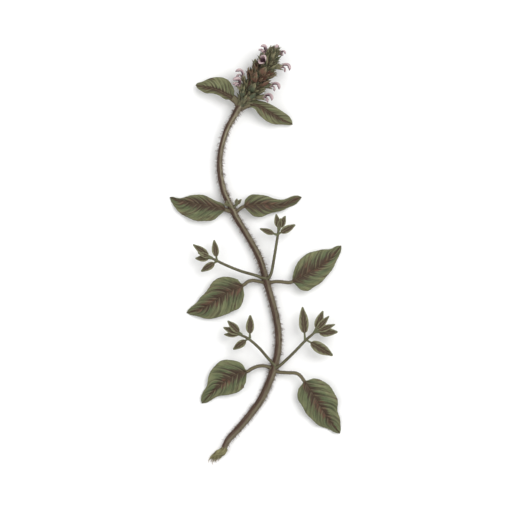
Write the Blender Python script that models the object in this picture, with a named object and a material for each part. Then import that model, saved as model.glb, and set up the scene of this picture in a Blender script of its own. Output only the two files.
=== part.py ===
"""A self-heal sprig in flower, picked with a tuft of root and laid flat on a surface.

All sizes are in millimetres, and the meshes are scaled to metres as they are made.
X runs across the sprig, Y from its root to its flower spike, and Z up from the surface.
"""

import math
from bisect import bisect_right
from dataclasses import dataclass

import bmesh
import bpy
from mathutils import Matrix, Vector

MM = 0.001
UP = Vector((0, 0, 1))

# Clearances and thicknesses
GAP = 0.3  # between a piece and the one that carries it
BLADE = 0.7  # thickness of a large leaf
SMALL_BLADE = 0.6  # thickness of a shoot's leaf, a bract or a petal

# Main stem: its route from the root to the spike, and its radius along the way
STEM_ROUTE = (
    (-3.9, -98.6, 2.1),
    (-1.4, -93.5, 1.7),
    (3.2, -88.5, 1.5),
    (9.5, -81.0, 1.5),
    (14.9, -73.5, 1.5),
    (18.5, -66.0, 1.7),
    (21.4, -58.0, 2.2),
    (23.3, -50.0, 2.5),
    (23.7, -41.0, 2.6),
    (22.2, -30.5, 2.7),
    (17.6, -14.0, 2.9),
    (14.6, -3.5, 3.0),
    (9.2, 7.0, 3.1),
    (3.4, 16.5, 3.3),
    (1.0, 21.3, 3.4),
    (-3.6, 31.0, 3.7),
    (-5.6, 42.0, 4.2),
    (-5.0, 51.5, 4.9),
    (-2.1, 61.5, 5.8),
    (3.4, 71.5, 7.0),
    (5.0, 74.2, 7.3),
)
STEM_RADIUS = (
    (0, 1.35), (0.05, 1.6), (0.15, 1.75), (0.3, 1.65), (0.5, 1.5), (0.75, 1.42), (0.9, 1.25), (1, 1.5),
)
STEM_NODES = ((21.4, -58.0, 2.2), (17.6, -14.0, 2.9), (1.0, 21.3, 3.4), (4.3, 72.9, 7.2))
NODE_SWELL = 0.25  # how much the stem thickens where leaves leave it
NODE_REACH = 2.6  # how far along the stem that thickening runs
STEM_SIDES = 8
STEM_RINGS = 42

# Flower spike: its axis, its solid middle, and its tiers of calyces
SPIKE_FOOT = (5.4, 74.9, 7.4)
SPIKE_TIP = (22.2, 100.7, 8.1)
CORE_RADIUS = ((0, 1.7), (0.12, 3.0), (0.5, 3.7), (0.8, 2.9), (1, 1.1))
CALYX_LENGTH = 5.4
CALYX_MOUTH = 1.5  # radius
CALYX_TEETH = 5
BRACT_ROUTE = ((1.8, -4.6), (4.2, -3.3), (6.2, -1.6), (7.2, 0.4), (7.5, 2.4))  # (out, up) from its tier
BRACT_WIDTH = 6.2

# Corolla: a tube, a hood that arches over and curls down, and a lower lip, as (out, up) points
TUBE = ((-2.6, 0.0), (0.4, 0.0), (1.5, 0.3))
TUBE_RADIUS = ((0, 0.55), (0.5, 0.65), (1, 0.95))
HOOD = ((0.8, 0.5), (1.9, 1.5), (3.3, 1.9), (4.7, 1.5), (5.5, 0.4), (5.5, -0.9), (4.9, -1.8))
HOOD_HALF_WIDTH = ((0, 0.7), (0.3, 1.2), (0.65, 1.25), (0.9, 1.0), (1, 0.6))
LIP = ((0.7, -0.2), (1.7, 0.1), (2.6, -0.4), (2.8, -1.4), (2.2, -2.1))
LIP_HALF_WIDTH = ((0, 0.6), (0.45, 0.9), (0.8, 1.1), (1, 0.6))
BUD = ((-2.6, 0.0), (0.6, 0.0), (2.4, 0.3), (3.4, 0.1))
BUD_RADIUS = ((0, 0.55), (0.45, 0.65), (0.8, 1.1), (1, 0.45))

# Root tuft: a knob at the stem's foot, and the rootlets that leave it
KNOB_ROUTE = ((-2.9, -100.1, 1.7), (-5.2, -99.9, 2.0), (-7.6, -100.6, 1.7), (-9.6, -102.0, 1.2))
KNOB_RADIUS = ((0, 0.9), (0.3, 1.9), (0.7, 1.5), (1, 0.6))
ROOTLETS = (
    ((-8.8, -101.4, 1.2), (-10.0, -102.6, 1.2), (-10.9, -104.6, 0.6)),
    ((-7.6, -101.2, 1.3), (-8.4, -103.2, 1.4), (-9.1, -105.9, 0.6)),
    ((-6.3, -101.0, 1.3), (-6.9, -102.8, 1.4), (-7.4, -104.9, 0.6)),
    ((-5.0, -100.8, 1.3), (-5.5, -102.6, 1.2), (-6.0, -104.2, 0.6)),
)
ROOTLET_RADIUS = ((0, 0.55), (0.6, 0.42), (1, 0.3))

# Shares of a blade's length where its half-widths are stated
WIDTH_SHARES = (0, 0.05, 0.15, 0.3, 0.5, 0.7, 0.85, 0.95, 1)
TIP_HALF_WIDTH = 0.32


@dataclass
class Leaf:
    """A leaf with its stalk: routes of the stalk and of the rib, and half-widths on either hand."""

    name: str
    stalk: tuple
    rib: tuple
    left: tuple
    right: tuple
    rise: float = 0.34  # how steeply each half climbs from the rib
    droop: float = 0.36  # how much of that climb the edge gives back
    wave: float = 0.55  # height of the edge's waves
    stalk_radius: float = 0.75
    thickness: float = BLADE


LEAVES = (
    Leaf(
        "leaf_lower_left",
        stalk=((21.0, -58.2, 2.3), (19.0, -57.1, 2.9), (16.4, -56.4, 3.6), (13.2, -56.7, 4.4),
               (10.4, -57.8, 4.9)),
        rib=((8.1, -59.2, 5.0), (4.0, -60.0, 4.9), (-0.4, -62.4, 4.4), (-6.4, -66.8, 3.0),
             (-11.5, -72.0, 1.3), (-14.6, -75.4, 0.7)),
        left=(5.3, 7.5, 8.0, 6.9, 3.6, 2.2, 1.1),
        right=(3.2, 6.8, 9.5, 8.5, 4.5, 3.2, 1.9),
    ),
    Leaf(
        "leaf_lower_right",
        stalk=((21.6, -59.0, 2.1), (23.8, -59.5, 2.5), (26.4, -59.8, 3.1), (29.4, -59.9, 4.0),
               (32.6, -60.1, 4.8), (34.8, -61.5, 5.2)),
        rib=((36.5, -63.9, 5.2), (40.7, -70.2, 4.8), (45.2, -77.6, 3.6), (50.1, -84.9, 1.6),
             (54.6, -90.4, 0.7)),
        left=(4.5, 7.6, 9.3, 9.2, 5.9, 4.0, 1.9),
        right=(4.4, 7.1, 7.7, 7.5, 5.8, 2.9, 1.2),
    ),
    Leaf(
        "leaf_middle_left",
        stalk=((17.4, -14.8, 2.8), (15.4, -14.5, 3.3), (13.3, -14.1, 4.0), (10.6, -13.7, 4.9),
               (8.1, -14.5, 5.3)),
        rib=((6.2, -16.0, 5.3), (-1.3, -19.3, 5.0), (-7.0, -23.0, 4.2), (-11.5, -26.2, 3.2),
             (-17.3, -28.8, 1.6), (-22.3, -30.0, 0.7)),
        left=(4.8, 8.9, 9.8, 8.7, 6.5, 2.9, 1.3),
        right=(3.8, 6.2, 8.5, 6.5, 5.0, 3.1, 1.5),
    ),
    Leaf(
        "leaf_middle_right",
        stalk=((18.0, -15.0, 2.8), (20.2, -14.6, 3.1), (22.6, -14.3, 3.8), (25.4, -14.4, 4.6),
               (28.4, -14.8, 5.1)),
        rib=((30.6, -14.4, 5.2), (35.5, -11.6, 5.2), (40.5, -9.0, 4.6), (45.7, -5.8, 3.4),
             (50.9, -1.6, 1.7), (55.2, 3.8, 0.7)),
        left=(2.4, 5.3, 8.2, 8.3, 6.3, 3.2, 1.6),
        right=(5.3, 7.7, 7.5, 6.3, 3.9, 2.2, 1.0),
    ),
    Leaf(
        "leaf_upper_left",
        stalk=((1.0, 21.0, 3.3), (-0.4, 21.0, 3.5), (-1.7, 21.3, 3.8)),
        rib=((-2.8, 21.7, 4.0), (-6.4, 22.6, 4.4), (-12.3, 23.8, 4.3), (-18.8, 24.9, 3.4),
             (-25.5, 26.3, 1.7), (-30.8, 27.9, 0.7)),
        left=(2.5, 6.0, 7.8, 8.2, 6.8, 4.2, 1.8),
        right=(2.2, 2.9, 4.0, 4.8, 2.6, 0.9, 0.5),
        stalk_radius=0.95,
    ),
    Leaf(
        "leaf_upper_right",
        stalk=((1.2, 20.2, 3.3), (2.6, 20.7, 3.6), (4.4, 22.0, 4.2)),
        rib=((6.3, 23.2, 4.7), (10.5, 24.0, 5.0), (15.5, 24.3, 4.6), (21.0, 23.9, 3.6),
             (26.0, 24.1, 2.2), (31.0, 26.0, 1.1), (35.4, 28.1, 0.8)),
        left=(3.2, 5.0, 4.7, 3.4, 2.4, 2.4, 1.4),
        right=(2.4, 5.7, 6.1, 3.7, 2.2, 1.9, 0.9),
    ),
    Leaf(
        "leaf_spike_left",
        stalk=((4.5, 73.9, 7.0), (3.3, 75.3, 7.1), (2.2, 76.4, 7.1)),
        rib=((0.9, 77.4, 7.2), (-2.6, 79.3, 7.4), (-6.8, 81.4, 7.0), (-12.0, 82.8, 5.5),
             (-17.8, 83.8, 3.2)),
        left=(1.6, 2.3, 2.2, 2.3, 3.0, 1.9, 1.0),
        right=(3.3, 5.2, 6.6, 6.1, 4.1, 2.1, 1.2),
        rise=0.45,
        droop=0.3,
        stalk_radius=0.95,
    ),
    Leaf(
        "leaf_spike_right",
        stalk=((4.6, 72.6, 7.0), (6.4, 73.0, 7.1), (8.0, 73.6, 7.2)),
        rib=((9.4, 74.0, 7.2), (12.4, 73.9, 7.2), (15.6, 72.5, 6.6), (20.2, 69.6, 5.3),
             (26.0, 66.4, 3.2), (31.0, 64.4, 1.5)),
        left=(1.7, 2.6, 3.4, 3.9, 3.6, 3.0, 1.6),
        right=(1.5, 2.4, 3.8, 4.4, 3.2, 1.6, 0.7),
        rise=0.45,
        droop=0.3,
        stalk_radius=0.95,
    ),
)


@dataclass
class Shoot:
    """A side shoot: its stem's route, and each small leaf as (foot, tip, half-width)."""

    name: str
    route: tuple
    leaves: tuple
    radius: float = 0.72


SHOOTS = (
    Shoot(
        "shoot_lower_left",
        route=((22.0, -56.3, 3.0), (20.0, -54.2, 4.2), (17.9, -51.9, 5.2), (13.8, -47.2, 6.6),
               (8.7, -42.8, 7.6), (5.0, -41.0, 8.0)),
        leaves=(
            ((9.4, -42.6, 7.6), (9.6, -30.9, 6.4), 2.0),
            ((9.0, -42.4, 7.4), (1.0, -48.3, 5.6), 1.8),
            ((5.4, -40.8, 8.0), (-1.7, -33.8, 8.2), 1.8),
            ((5.4, -40.8, 7.9), (-3.9, -37.1, 7.2), 1.6),
            ((5.4, -40.8, 7.8), (-3.6, -40.7, 6.2), 1.3),
        ),
    ),
    Shoot(
        "shoot_lower_right",
        route=((22.2, -57.4, 3.0), (24.5, -56.2, 4.2), (27.2, -53.8, 5.0), (31.2, -49.9, 6.2),
               (37.2, -43.7, 7.2), (41.8, -39.6, 7.6)),
        leaves=(
            ((37.0, -43.4, 7.2), (35.7, -26.8, 5.8), 2.4),
            ((37.0, -43.0, 7.0), (51.0, -51.3, 5.0), 2.7),
            ((41.6, -39.6, 7.6), (46.0, -28.8, 7.4), 1.9),
            ((41.4, -39.6, 7.6), (49.0, -31.4, 8.6), 1.5),
            ((41.4, -39.6, 7.6), (52.0, -35.6, 8.0), 1.5),
            ((41.4, -39.6, 7.5), (53.4, -39.4, 6.2), 2.2),
        ),
    ),
    Shoot(
        "shoot_middle_left",
        route=((17.2, -12.7, 3.5), (15.0, -12.2, 4.6), (12.4, -11.2, 5.4), (4.5, -8.9, 6.6),
               (-3.3, -5.7, 7.4), (-9.8, -2.5, 7.8)),
        leaves=(
            ((-7.0, -4.0, 7.7), (-8.5, 6.6, 6.4), 1.7),
            ((-6.6, -3.8, 7.5), (-15.0, -9.3, 5.8), 1.8),
            ((-9.4, -2.6, 7.8), (-19.0, 4.3, 7.8), 1.7),
            ((-9.4, -2.6, 7.8), (-16.6, 0.2, 8.9), 1.2),
            ((-9.4, -2.6, 7.7), (-17.9, -2.7, 6.6), 1.6),
        ),
    ),
    Shoot(
        "shoot_middle_right",
        route=((17.9, -12.9, 3.5), (19.4, -11.6, 4.6), (20.5, -8.5, 5.3), (22.0, 0.2, 6.4),
               (23.4, 9.0, 7.2), (23.9, 11.9, 7.4)),
        leaves=(
            ((23.2, 9.0, 7.3), (14.3, 12.2, 6.2), 1.4),
            ((23.0, 9.2, 7.2), (32.2, 14.2, 6.2), 1.8),
            ((23.8, 11.2, 7.4), (22.5, 19.5, 7.4), 1.5),
            ((23.8, 11.2, 7.4), (24.8, 17.4, 8.7), 1.1),
            ((23.8, 11.2, 7.4), (27.2, 18.6, 7.2), 1.6),
        ),
    ),
    Shoot(
        "bud_upper_right",
        route=((1.0, 22.4, 4.0), (2.0, 23.6, 4.8), (2.7, 24.4, 5.2)),
        leaves=(
            ((2.5, 23.9, 4.9), (3.0, 27.2, 5.8), 0.9),
            ((2.5, 23.8, 4.9), (5.2, 26.9, 6.0), 0.9),
        ),
        radius=0.6,
    ),
    Shoot(
        "bud_upper_left",
        route=((0.3, 22.6, 4.0), (-0.8, 23.5, 5.0), (-1.6, 23.8, 5.3)),
        leaves=(
            ((-0.8, 23.7, 4.9), (-3.6, 24.7, 6.4), 0.8),
            ((-0.8, 23.7, 5.0), (-2.4, 26.2, 5.8), 0.8),
        ),
        radius=0.6,
    ),
)


@dataclass
class Flower:
    """An open or opening flower: where its mouth stands on the spike, its size and its lean."""

    height: float
    distance: float  # from the spike's axis
    bearing: float  # degrees round the spike: 0 to its right, 90 upwards
    size: float = 1.0
    tilt: float = 57  # degrees from the spike's axis
    bud: bool = False


FLOWERS = (
    Flower(6.2, 6.2, 146, 1.05, 62),
    Flower(7.9, 7.4, 18),
    Flower(10.6, 6.3, 170, 0.95, 62),
    Flower(14.5, 6.9, 8),
    Flower(22.4, 5.6, 108, 1.0, 66),
    Flower(25.3, 6.1, 8),
    Flower(26.3, 5.3, 138, 0.95, 42),
    Flower(31.0, 2.4, 24, 0.6, 50),
    Flower(31.4, 1.6, 116, 0.8, 14, bud=True),
    Flower(12.6, 5.0, -60, 0.8, 46, bud=True),
    Flower(17.6, 5.2, -120, 0.8, 46, bud=True),
    Flower(22.8, 4.6, -60, 0.8, 42, bud=True),
)

# Tiers of closed calyces: height of their mouths, distance from the axis, first bearing and tilt
TIERS = (
    (5.8, 4.4, 32, 50),
    (10.4, 5.0, 50, 50),
    (15.2, 5.3, 20, 48),
    (20.0, 5.4, 50, 46),
    (24.6, 4.4, 20, 40),
    (28.8, 3.0, 50, 30),
)
CALYCES_PER_TIER = 6
TOP_CALYX_HEIGHT = 32.6
CLEAR_OF_FLOWER = 2.6  # closed calyces nearer to an open flower's calyx than this are left out

COLOURS = {
    "stem": ((0.16, 0.12, 0.08), 0.7),
    "leaf": ((0.14, 0.18, 0.08), 0.65),
    "shoot": ((0.17, 0.20, 0.09), 0.65),
    "spike": ((0.13, 0.12, 0.07), 0.7),
    "petal": ((0.52, 0.42, 0.48), 0.6),
    "root": ((0.22, 0.19, 0.11), 0.8),
}


class Path:
    """A smooth curve through a few points, read by the share of its length."""

    STEPS = 16

    def __init__(self, points):
        knots = [Vector(p) for p in points]
        knots = [knots[0] * 2 - knots[1], *knots, knots[-1] * 2 - knots[-2]]
        self.points = []
        for a, b, c, d in zip(knots, knots[1:], knots[2:], knots[3:]):
            for step in range(self.STEPS):
                self.points.append(self.between(a, b, c, d, step / self.STEPS))
        self.points.append(knots[-2])
        self.runs = [0.0]
        for a, b in zip(self.points, self.points[1:]):
            self.runs.append(self.runs[-1] + (b - a).length)
        self.length = self.runs[-1]

    @staticmethod
    def between(a, b, c, d, t):
        """The Catmull-Rom point at t from b to c."""
        return 0.5 * (
            2 * b
            + (c - a) * t
            + (2 * a - 5 * b + 4 * c - d) * t**2
            + (3 * b - a - 3 * c + d) * t**3
        )

    def knot_share(self, index):
        """Share of the length at the point that was given as number index."""
        return self.runs[index * self.STEPS] / self.length

    def at(self, share):
        """The point at a share of the length."""
        goal = min(max(share, 0), 1) * self.length
        i = min(bisect_right(self.runs, goal), len(self.runs) - 1)
        low, high = self.runs[i - 1], self.runs[i]
        return self.points[i - 1].lerp(self.points[i], (goal - low) / (high - low))

    def heading(self, share):
        """The unit direction of travel at a share of the length."""
        near = 0.01
        return (self.at(share + near) - self.at(share - near)).normalized()


def read(knots, share):
    """The value at a share, on a smooth line through (share, value) knots."""
    shares = [k[0] for k in knots]
    i = min(max(bisect_right(shares, share), 1), len(knots) - 1)

    def slope(k):
        low, high = max(k - 1, 0), min(k + 1, len(knots) - 1)
        return (knots[high][1] - knots[low][1]) / (shares[high] - shares[low])

    (s0, v0), (s1, v1) = knots[i - 1], knots[i]
    span = s1 - s0
    t = min(max((share - s0) / span, 0), 1)
    return (
        v0 * (2 * t**3 - 3 * t**2 + 1)
        + slope(i - 1) * span * (t**3 - 2 * t**2 + t)
        + v1 * (3 * t**2 - 2 * t**3)
        + slope(i) * span * (t**3 - t**2)
    )


def cosine_shares(count):
    """Shares from 0 to 1 that crowd towards both ends."""
    return [(1 - math.cos(math.pi * i / (count - 1))) / 2 for i in range(count)]


def material(name):
    """The named plain finish."""
    colour, roughness = COLOURS[name]
    made = bpy.data.materials.get(name)
    if made is None:
        made = bpy.data.materials.new(name)
        made.use_nodes = True
        shader = made.node_tree.nodes["Principled BSDF"]
        shader.inputs["Base Color"].default_value = (*colour, 1)
        shader.inputs["Roughness"].default_value = roughness
        shader.inputs["Metallic"].default_value = 0
        made.diffuse_color = (*colour, 1)
    return made


def mesh_object(name, points, faces, finish):
    """An object from points in millimetres, with its faces turned outwards."""
    mesh = bpy.data.meshes.new(name)
    mesh.from_pydata([p * MM for p in points], [], faces)
    shape = bmesh.new()
    shape.from_mesh(mesh)
    bmesh.ops.recalc_face_normals(shape, faces=shape.faces)
    if shape.calc_volume(signed=True) < 0:
        bmesh.ops.reverse_faces(shape, faces=shape.faces)
    shape.to_mesh(mesh)
    shape.free()
    mesh.materials.append(material(finish))
    made = bpy.data.objects.new(name, mesh)
    bpy.context.scene.collection.objects.link(made)
    return made


def tube(name, rings, finish):
    """A closed tube through rings of equally many points."""
    sides = len(rings[0])
    points = [p for ring in rings for p in ring]
    faces = [tuple(range(sides)), tuple(range(len(points) - sides, len(points)))]
    for row in range(len(rings) - 1):
        for k in range(sides):
            a, b = row * sides + k, row * sides + (k + 1) % sides
            faces += [(a, b, b + sides), (a, b + sides, a + sides)]
    return mesh_object(name, points, faces, finish)


def sheet(name, tops, bottoms, finish):
    """A closed sheet from rows of top and bottom points, both faces split into triangles alike."""
    rows, columns = len(tops), len(tops[0])
    points = [p for row in tops for p in row] + [p for row in bottoms for p in row]

    def top(i, j):
        return i * columns + j

    def low(i, j):
        return (rows + i) * columns + j

    faces = []
    for i in range(rows - 1):
        for j in range(columns - 1):
            for at in (top, low):
                a, b, c, d = at(i, j), at(i, j + 1), at(i + 1, j + 1), at(i + 1, j)
                faces += [(a, b, c), (a, c, d)]
        for j in (0, columns - 1):
            a, b, c, d = top(i, j), top(i + 1, j), low(i + 1, j), low(i, j)
            faces += [(a, b, c), (a, c, d)]
    for i in (0, rows - 1):
        for j in range(columns - 1):
            a, b, c, d = top(i, j), top(i, j + 1), low(i, j + 1), low(i, j)
            faces += [(a, b, c), (a, c, d)]
    return mesh_object(name, points, faces, finish)


def frame_along(heading):
    """Unit vectors to the left of a heading and above it."""
    left = UP.cross(heading).normalized()
    return left, heading.cross(left)


def round_ring(centre, heading, radius, sides):
    """Points round a centre, with a flat side downwards."""
    left, above = frame_along(heading)
    ring = []
    for k in range(sides):
        angle = 2 * math.pi * (k + 0.5) / sides
        ring.append(centre + left * radius * math.sin(angle) + above * radius * math.cos(angle))
    return ring


def round_tube(name, path, radius_knots, sides, rings, finish):
    """A tube along a path whose radius follows (share, radius) knots."""
    made = []
    for i in range(rings):
        share = i / (rings - 1)
        made.append(round_ring(path.at(share), path.heading(share), read(radius_knots, share), sides))
    return tube(name, made, finish)


def on_surface(point, lowest=0.0):
    """The point, lifted to the surface if it would lie below it."""
    return Vector((point.x, point.y, max(point.z, lowest)))


def fuse(name, pieces, cutters=(), solver="EXACT"):
    """The pieces joined into one body by one Boolean union, and then cut."""
    body, others = pieces[0], pieces[1:]
    for operation, group in (("UNION", others), ("DIFFERENCE", cutters)):
        if not group:
            continue
        collection = bpy.data.collections.new(name)
        bpy.context.scene.collection.children.link(collection)
        for piece in group:
            bpy.context.scene.collection.objects.unlink(piece)
            collection.objects.link(piece)
        boolean = body.modifiers.new(operation.lower(), "BOOLEAN")
        boolean.operation = operation
        boolean.operand_type = "COLLECTION"
        boolean.collection = collection
        boolean.solver = solver
        graph = bpy.context.evaluated_depsgraph_get()
        joined = bpy.data.meshes.new_from_object(body.evaluated_get(graph))
        body.modifiers.clear()
        body.data = joined
        for piece in group:
            bpy.data.objects.remove(piece)
        bpy.data.collections.remove(collection)
    if others:
        merge_flat(body.data)
    drop_crumbs(body.data)
    body.name = name
    body.data.name = name
    return body


def merge_flat(mesh):
    """Merges the fragments of a union that lie almost flat beside each other."""
    shape = bmesh.new()
    shape.from_mesh(mesh)
    bmesh.ops.dissolve_limit(
        shape, angle_limit=math.radians(2), verts=shape.verts, edges=shape.edges
    )
    shape.to_mesh(mesh)
    shape.free()


def drop_crumbs(mesh):
    """Removes what a cut has left loose beside the largest body."""
    shape = bmesh.new()
    shape.from_mesh(mesh)
    unseen = set(shape.verts)
    bodies = []
    while unseen:
        edge_of_search = [unseen.pop()]
        body = list(edge_of_search)
        while edge_of_search:
            vertex = edge_of_search.pop()
            near = {edge.other_vert(vertex) for edge in vertex.link_edges} & unseen
            unseen -= near
            edge_of_search += near
            body += near
        bodies.append(body)
    bodies.sort(key=len)
    loose = [vertex for body in bodies[:-1] for vertex in body]
    bmesh.ops.delete(shape, geom=loose, context="VERTS")
    shape.to_mesh(mesh)
    shape.free()


def blade_rows(leaf, blade_rings, stalk_rings, columns, wider=0.0):
    """Rows of top and bottom points of a leaf, from its stalk's foot to its tip."""
    path = Path((*leaf.stalk, *leaf.rib))
    start = path.knot_share(len(leaf.stalk))
    widths = [
        list(zip(WIDTH_SHARES, (leaf.stalk_radius, *side, TIP_HALF_WIDTH)))
        for side in (leaf.left, leaf.right)
    ]
    shares = [start * i / stalk_rings for i in range(stalk_rings)]
    shares += [start + (1 - start) * s for s in cosine_shares(blade_rings)]
    tops, bottoms = [], []
    for share in shares:
        centre = path.at(share)
        left, above = frame_along(path.heading(share))
        along = (share - start) / (1 - start)
        opened = min(max(along / 0.04, 0), 1)
        taper = leaf.stalk_radius * (1 - 0.75 * max(along, 0)) + wider
        row_top, row_low = [], []
        for j in range(columns):
            angle = math.pi * (j + 0.5) / columns
            stalk_side = taper * math.cos(angle)
            stalk_rise = taper * math.sin(angle)
            across = 1 - 2 * j / (columns - 1)
            half = max(read(widths[0 if across > 0 else 1], max(along, 0)), TIP_HALF_WIDTH) + wider
            side = across * half
            lift = half * (leaf.rise * abs(across) - leaf.droop * across**2)
            lift += leaf.wave * across**2 * math.sin(7 * math.pi * along + (2 if across > 0 else 0))
            rib = taper * 0.8 * math.exp(-((side / taper) ** 2))
            rise = leaf.thickness / 2 + 0.3 * rib + wider
            fall = leaf.thickness / 2 + rib + wider
            side = stalk_side + (side - stalk_side) * opened
            rise = stalk_rise + (lift + rise - stalk_rise) * opened
            fall = stalk_rise + (fall - lift - stalk_rise) * opened
            row_top.append(on_surface(centre + left * side + above * rise, leaf.thickness))
            row_low.append(on_surface(centre + left * side - above * fall))
        tops.append(row_top)
        bottoms.append(row_low)
    return tops, bottoms


def make_leaf(leaf):
    """A large leaf: stalk and blade in one body."""
    tops, bottoms = blade_rows(leaf, blade_rings=13, stalk_rings=4, columns=7)
    whole = sheet("whole_leaf", tops, bottoms, "leaf")
    return fuse(leaf.name, [whole], [stem_clearance(Vector(leaf.stalk[0]))])


def leaf_clearance(leaf):
    """The room that a leaf needs, with the gap round it."""
    tops, bottoms = blade_rows(leaf, blade_rings=9, stalk_rings=3, columns=5, wider=GAP * 1.2)
    return sheet("leaf_clearance", tops, bottoms, "leaf")


def small_leaf(foot, tip, half_width):
    """A small pointed leaf of a shoot, arched between its foot and its tip."""
    foot, tip = Vector(foot), Vector(tip)
    arch = UP * (tip - foot).length * 0.07
    leaf = Leaf(
        "small_leaf",
        stalk=(foot, foot.lerp(tip, 0.1) + arch * 0.4),
        rib=(foot.lerp(tip, 0.2) + arch, foot.lerp(tip, 0.6) + arch * 1.3, tip),
        left=tuple(half_width * w for w in (0.5, 0.78, 1.0, 0.95, 0.68, 0.4, 0.22)),
        right=tuple(half_width * w for w in (0.5, 0.78, 1.0, 0.95, 0.68, 0.4, 0.22)),
        rise=0.3,
        droop=0.2,
        wave=0.0,
        stalk_radius=0.45,
        thickness=SMALL_BLADE,
    )
    tops, bottoms = blade_rows(leaf, blade_rings=6, stalk_rings=1, columns=4)
    return sheet("small_leaf", tops, bottoms, "shoot")


def make_shoot(shoot):
    """A side shoot: its stem and its leaves, joined."""
    radius = ((0, shoot.radius), (0.6, shoot.radius * 0.9), (1, shoot.radius * 0.8))
    rings = 2 * len(shoot.route) - 1
    stem = round_tube("shoot_stem", Path(shoot.route), radius, 6, rings, "shoot")
    leaves = [small_leaf(*leaf) for leaf in shoot.leaves]
    return fuse(shoot.name, [stem, *leaves], [stem_clearance(Vector(shoot.route[0]))])


def stem_rings(wider=0.0):
    """The stem's rings from foot to spike, flattened where it lies on the surface."""
    path = Path(STEM_ROUTE)
    nodes = [Vector(p) for p in STEM_NODES]
    rings = []
    for i in range(STEM_RINGS):
        share = i / (STEM_RINGS - 1)
        centre = path.at(share)
        radius = read(STEM_RADIUS, share) + wider
        for node in nodes:
            radius += NODE_SWELL * math.exp(-(((centre - node).length / NODE_REACH) ** 2))
        ring = round_ring(centre, path.heading(share), radius, STEM_SIDES)
        rings.append([on_surface(p, -wider) for p in ring])
    return rings


def make_stem():
    """The main stem."""
    return tube("main_stem", stem_rings(), "stem")


def stem_clearance(near):
    """A stretch of the stem round a point, wider by the gap that other pieces keep from it."""
    rings = stem_rings(wider=GAP * 1.1)
    onward = Path(STEM_ROUTE).heading(1)
    rings.append([p + onward * 2 * GAP for p in rings[-1]])
    middle = min(range(len(rings)), key=lambda i: (rings[i][0] - near).length)
    return tube("stem_clearance", rings[max(middle - 3, 0):middle + 4], "stem")


def make_root():
    """The root tuft: a knob with rootlets, clear of the stem's cut foot."""
    knob = round_tube("knob", Path(KNOB_ROUTE), KNOB_RADIUS, 8, 7, "root")
    rootlets = [
        round_tube("rootlet", Path(route), ROOTLET_RADIUS, 5, 6, "root") for route in ROOTLETS
    ]
    return fuse("root_tuft", [knob, *rootlets], [foot_clearance(), floor_cutter()])


def foot_clearance():
    """A plug that keeps the root tuft clear of the stem's foot."""
    foot = Vector(STEM_ROUTE[0])
    inward = Path(STEM_ROUTE).heading(0)
    path = Path((foot - inward * GAP, foot + inward * 2, foot + inward * 6))
    return round_tube("foot_clearance", path, ((0, 3.0), (1, 3.0)), 12, 4, "root")


def floor_cutter():
    """A slab whose top is the surface that the sprig lies on."""
    half, depth = 150, 10
    corners = ((-half, -half), (half, -half), (half, half), (-half, half))
    points = [Vector((x, y, z)) for z in (-depth, 0) for x, y in corners]
    faces = [(0, 1, 2, 3), (4, 5, 6, 7)]
    faces += [(k, (k + 1) % 4, (k + 1) % 4 + 4, k + 4) for k in range(4)]
    return mesh_object("floor_cutter", points, faces, "root")


class Spike:
    """The spike's own frame: heights along its axis, and bearings round it."""

    def __init__(self):
        self.foot, tip = Vector(SPIKE_FOOT), Vector(SPIKE_TIP)
        self.length = (tip - self.foot).length
        self.axis = (tip - self.foot).normalized()
        self.right = self.axis.cross(UP).normalized()
        self.over = self.right.cross(self.axis)

    def outward(self, bearing):
        """The unit direction away from the axis at a bearing in degrees."""
        turn = math.radians(bearing)
        return self.right * math.cos(turn) + self.over * math.sin(turn)

    def mouth(self, height, distance, bearing):
        """The centre of a calyx's mouth."""
        return self.foot + self.axis * height + self.outward(bearing) * distance

    def leaning(self, bearing, tilt):
        """The direction that leans out from the axis by tilt, and the one square to it, tipwards."""
        lean = math.radians(tilt)
        out = self.outward(bearing)
        along = self.axis * math.cos(lean) + out * math.sin(lean)
        return along, self.axis * math.sin(lean) - out * math.cos(lean)


def calyx(mouth, along, tipwards, size=1.0):
    """A toothed cup whose mouth is at a point and which widens along a direction."""
    length, wide = CALYX_LENGTH * size, CALYX_MOUTH * size
    across = along.cross(tipwards)
    count = 2 * CALYX_TEETH

    def ring(height, radius, tooth=0.0, flare=0.0):
        points = []
        for k in range(count):
            turn = 2 * math.pi * k / count
            out = tipwards * math.cos(turn) + across * math.sin(turn)
            odd = k % 2
            points.append(mouth + along * (height + tooth * odd) + out * (radius + flare * odd))
        return points

    rings = [ring(-length, 0.4 * size), ring(-length * 0.45, wide * 0.84), ring(0, wide, 1.5, 0.45)]
    points = [p for r in rings for p in r] + [mouth - along * 1.1 * size]
    centre = len(points) - 1
    faces = [tuple(range(count))]
    for row in range(2):
        for k in range(count):
            a, b = row * count + k, row * count + (k + 1) % count
            faces += [(a, b, b + count), (a, b + count, a + count)]
    for k in range(count):
        faces.append((2 * count + k, 2 * count + (k + 1) % count, centre))
    return mesh_object("calyx", points, faces, "spike")


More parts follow.
